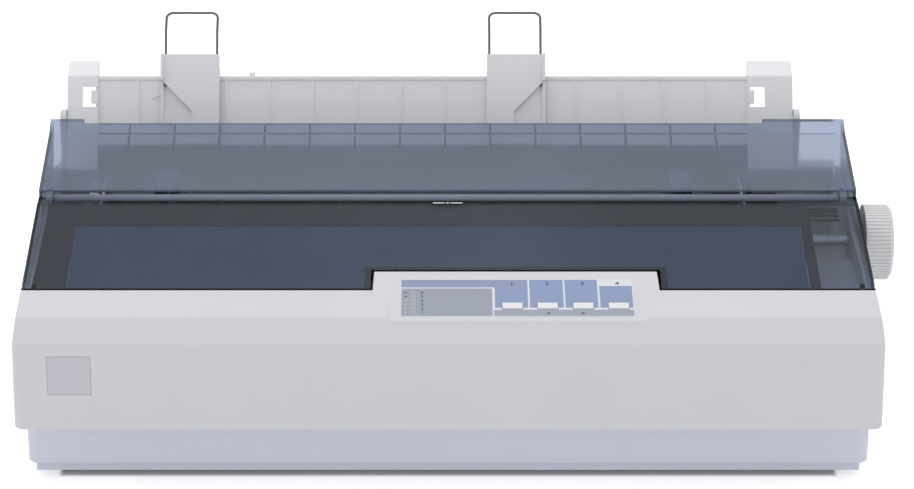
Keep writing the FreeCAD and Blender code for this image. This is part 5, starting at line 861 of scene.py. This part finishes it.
def smoked_plastic(name, colour, clear, smoke, density):
    """Tinted clear plastic: its smoke takes more light the thicker it is."""
    material = surfaced(name, glossy_sheet, {"Colour": colour, "Roughness": 0.05},
                        {"Transmission Weight": clear, "IOR": 1.49, "Specular IOR Level": 0.3})
    tree = material.node_tree
    volume = add(tree, "ShaderNodeVolumeAbsorption", {"Color": smoke, "Density": density})
    tree.links.new(volume.outputs[0], tree.nodes["Material Output"].inputs["Volume"])
    return material


finish(smoked_plastic("smoke_front", shade(218, 226, 238), clear=0.995, smoke=shade(120, 130, 150),
                      density=200.0), "printer_cover")
cover_edge = (0.047, 0.1244)
cover_slope = 0.204854
sheet_drops = (0.00248, 0.00228)


def under_cover(x, y, drop):
    """A place under the cover's sheet, this far below its upper face."""
    return Vector((x, y, cover_edge[1] + cover_slope * (y - cover_edge[0]) - drop)) - frame_origin


grain_outline = ((-0.262, 0.0500), (-0.058, 0.0500), (-0.058, 0.0740), (0.151, 0.0740),
                 (0.151, 0.0500), (0.248, 0.0500), (0.248, 0.1215), (-0.262, 0.1215))
border_strips = ((-0.284, -0.2625, 0.050, 0.149), (-0.2625, 0.2485, 0.122, 0.149),
                 (0.2485, 0.256, 0.050, 0.149))
rib_ends = (-0.279, 0.277)
rib_backs = (0.1315, 0.1368, 0.1412, 0.1452)
rib_drops = (0.0045, 0.0026)
rib_thick = 0.0008
grained = bmesh.new()
top_ring, low_ring = ([grained.verts.new(under_cover(x, y, drop)) for x, y in grain_outline]
                      for drop in reversed(sheet_drops))
grained.faces.new(top_ring)
grained.faces.new(low_ring)
for i in range(len(grain_outline)):
    grained.faces.new((top_ring[i - 1], top_ring[i], low_ring[i], low_ring[i - 1]))
grained_sheet = placed("cover_grained_area", closed_mesh("cover_grained_area", grained), "cover",
                       moulded_plastic("grained_smoke", shade(88, 116, 150), roughness=0.7,
                                       grain=900.0, depth=0.0001, mottle=0.1, wear=0.0))
# Painted shade: a dark sheet under the cover's sides and rear darkens the inside seen there.
border = bmesh.new()
for left, right, front, back in border_strips:
    for corner in box_into(border, (left, front, 0), (right, back, 1)):
        corner.co = under_cover(corner.co.x, corner.co.y, sheet_drops[round(corner.co.z)])
painted_shade_border = placed("cover_painted_shade", closed_mesh("cover_painted_shade", border), "cover",
                      moulded_plastic("border_painted_shade", shade(28, 34, 50), roughness=0.6, grain=900.0,
                                      depth=0.00004, mottle=0.1, wear=0.0))
ribs = bmesh.new()
for back in rib_backs:
    for corner in box_into(ribs, (rib_ends[0], back, 0), (rib_ends[1], back + rib_thick, 1)):
        corner.co = under_cover(corner.co.x, corner.co.y, rib_drops[round(corner.co.z)])
cover_ribs = placed("cover_ribs", closed_mesh("cover_ribs", ribs), "cover",
                    moulded_plastic("rib_smoke", shade(34, 38, 48), roughness=0.4, grain=1800.0,
                                    depth=0.00002, mottle=0.1, wear=0.2))

# A rod along the hinge line: its grey is partly its own colour, partly a painted highlight.
hinge_line = (0.1556, 0.1464)
rod_radius = 0.00268
rod_ends = (-0.2808, 0.2788)
rod_sides = 24
rod = bmesh.new()
turns = [2 * math.pi * i / rod_sides for i in range(rod_sides)]
rings = [[rod.verts.new(Vector((x, hinge_line[0] + rod_radius * math.cos(turn),
                                hinge_line[1] + rod_radius * math.sin(turn))) - frame_origin)
          for turn in turns] for x in rod_ends]
for i in range(rod_sides):
    rod.faces.new((rings[0][i - 1], rings[0][i], rings[1][i], rings[1][i - 1])).smooth = True
for ring in rings:
    rod.faces.new(ring)
hinge_sleeve = placed("hinge_sleeve", closed_mesh("hinge_sleeve", rod), "cover",
                      moulded_plastic("sleeve_grey_and_highlight", shade(128, 136, 154), roughness=0.3,
                                      grain=1800.0, depth=0.00001, mottle=0.1, wear=0.3))

# A small white dash and dot at the middle of the hinge line.
mark_bars = (((-0.0105, 0.1472, 0.14575), (-0.002, 0.1486, 0.1459)),
             ((0.002, 0.1472, 0.14575), (0.0105, 0.1486, 0.1459)),
             ((-0.0008, 0.1470, 0.14575), (0.0008, 0.1488, 0.1461)))
mark = bmesh.new()
for low, high in mark_bars:
    box_into(mark, Vector(low) - frame_origin, Vector(high) - frame_origin)
centre_white_dash = placed("centre_white_dash", closed_mesh("centre_white_dash", mark), "cover",
                     moulded_plastic("dash_white", shade(238, 240, 244), roughness=0.4,
                                     grain=2500.0, depth=0.00001, mottle=0.03, wear=0.0))


# Exit flap
# The rear smoke cover, hinged on the printer cover, in a lighter smoke, with short ribs under
# its rear edge that hold the paper down.
finish(smoked_plastic("smoke_rear", shade(184, 196, 218), clear=0.78, smoke=shade(120, 130, 150),
                      density=150.0), "exit_flap")


# Paper guide, edge guides and wire supports
# A pale grey ribbed plate that leans back behind the printer, with two sliding edge guides
# and a bent steel wire in each that holds the paper up.
guide_foot = Vector((0, 0.3, 0.151))
guide_lean = -28
shade_strip_low = (-0.2622, -0.00185, -0.0395)
shade_strip_high = (0.2262, -0.00155, -0.0212)
finish(moulded_plastic("guide_plastic", shade(240, 241, 244)), "paper_guide")
finish(moulded_plastic("edge_guide_plastic", shade(237, 238, 242)), "left_edge_guide",
       "right_edge_guide")
finish(metal("wire_steel", shade(150, 152, 158), roughness=0.3, lines=1600.0,
             stretch=(1.0, 1.0, 0.1)), "left_wire_support", "right_wire_support")
# Painted shade: a dark strip across the guide's lower part, seen through the exit flap.
shade_strip = bmesh.new()
box_into(shade_strip, shade_strip_low, shade_strip_high)
shade_strip.transform(Matrix.Translation(guide_foot - frame_origin)
                @ Matrix.Rotation(math.radians(guide_lean), 4, "X"))
painted_shade_strip = placed("guide_painted_shade_strip", closed_mesh("guide_painted_shade_strip", shade_strip), "guide",
                     moulded_plastic("painted_shade_dark", shade(70, 74, 84), roughness=0.6, grain=1500.0,
                                     depth=0.00004, mottle=0.12, wear=0.2))
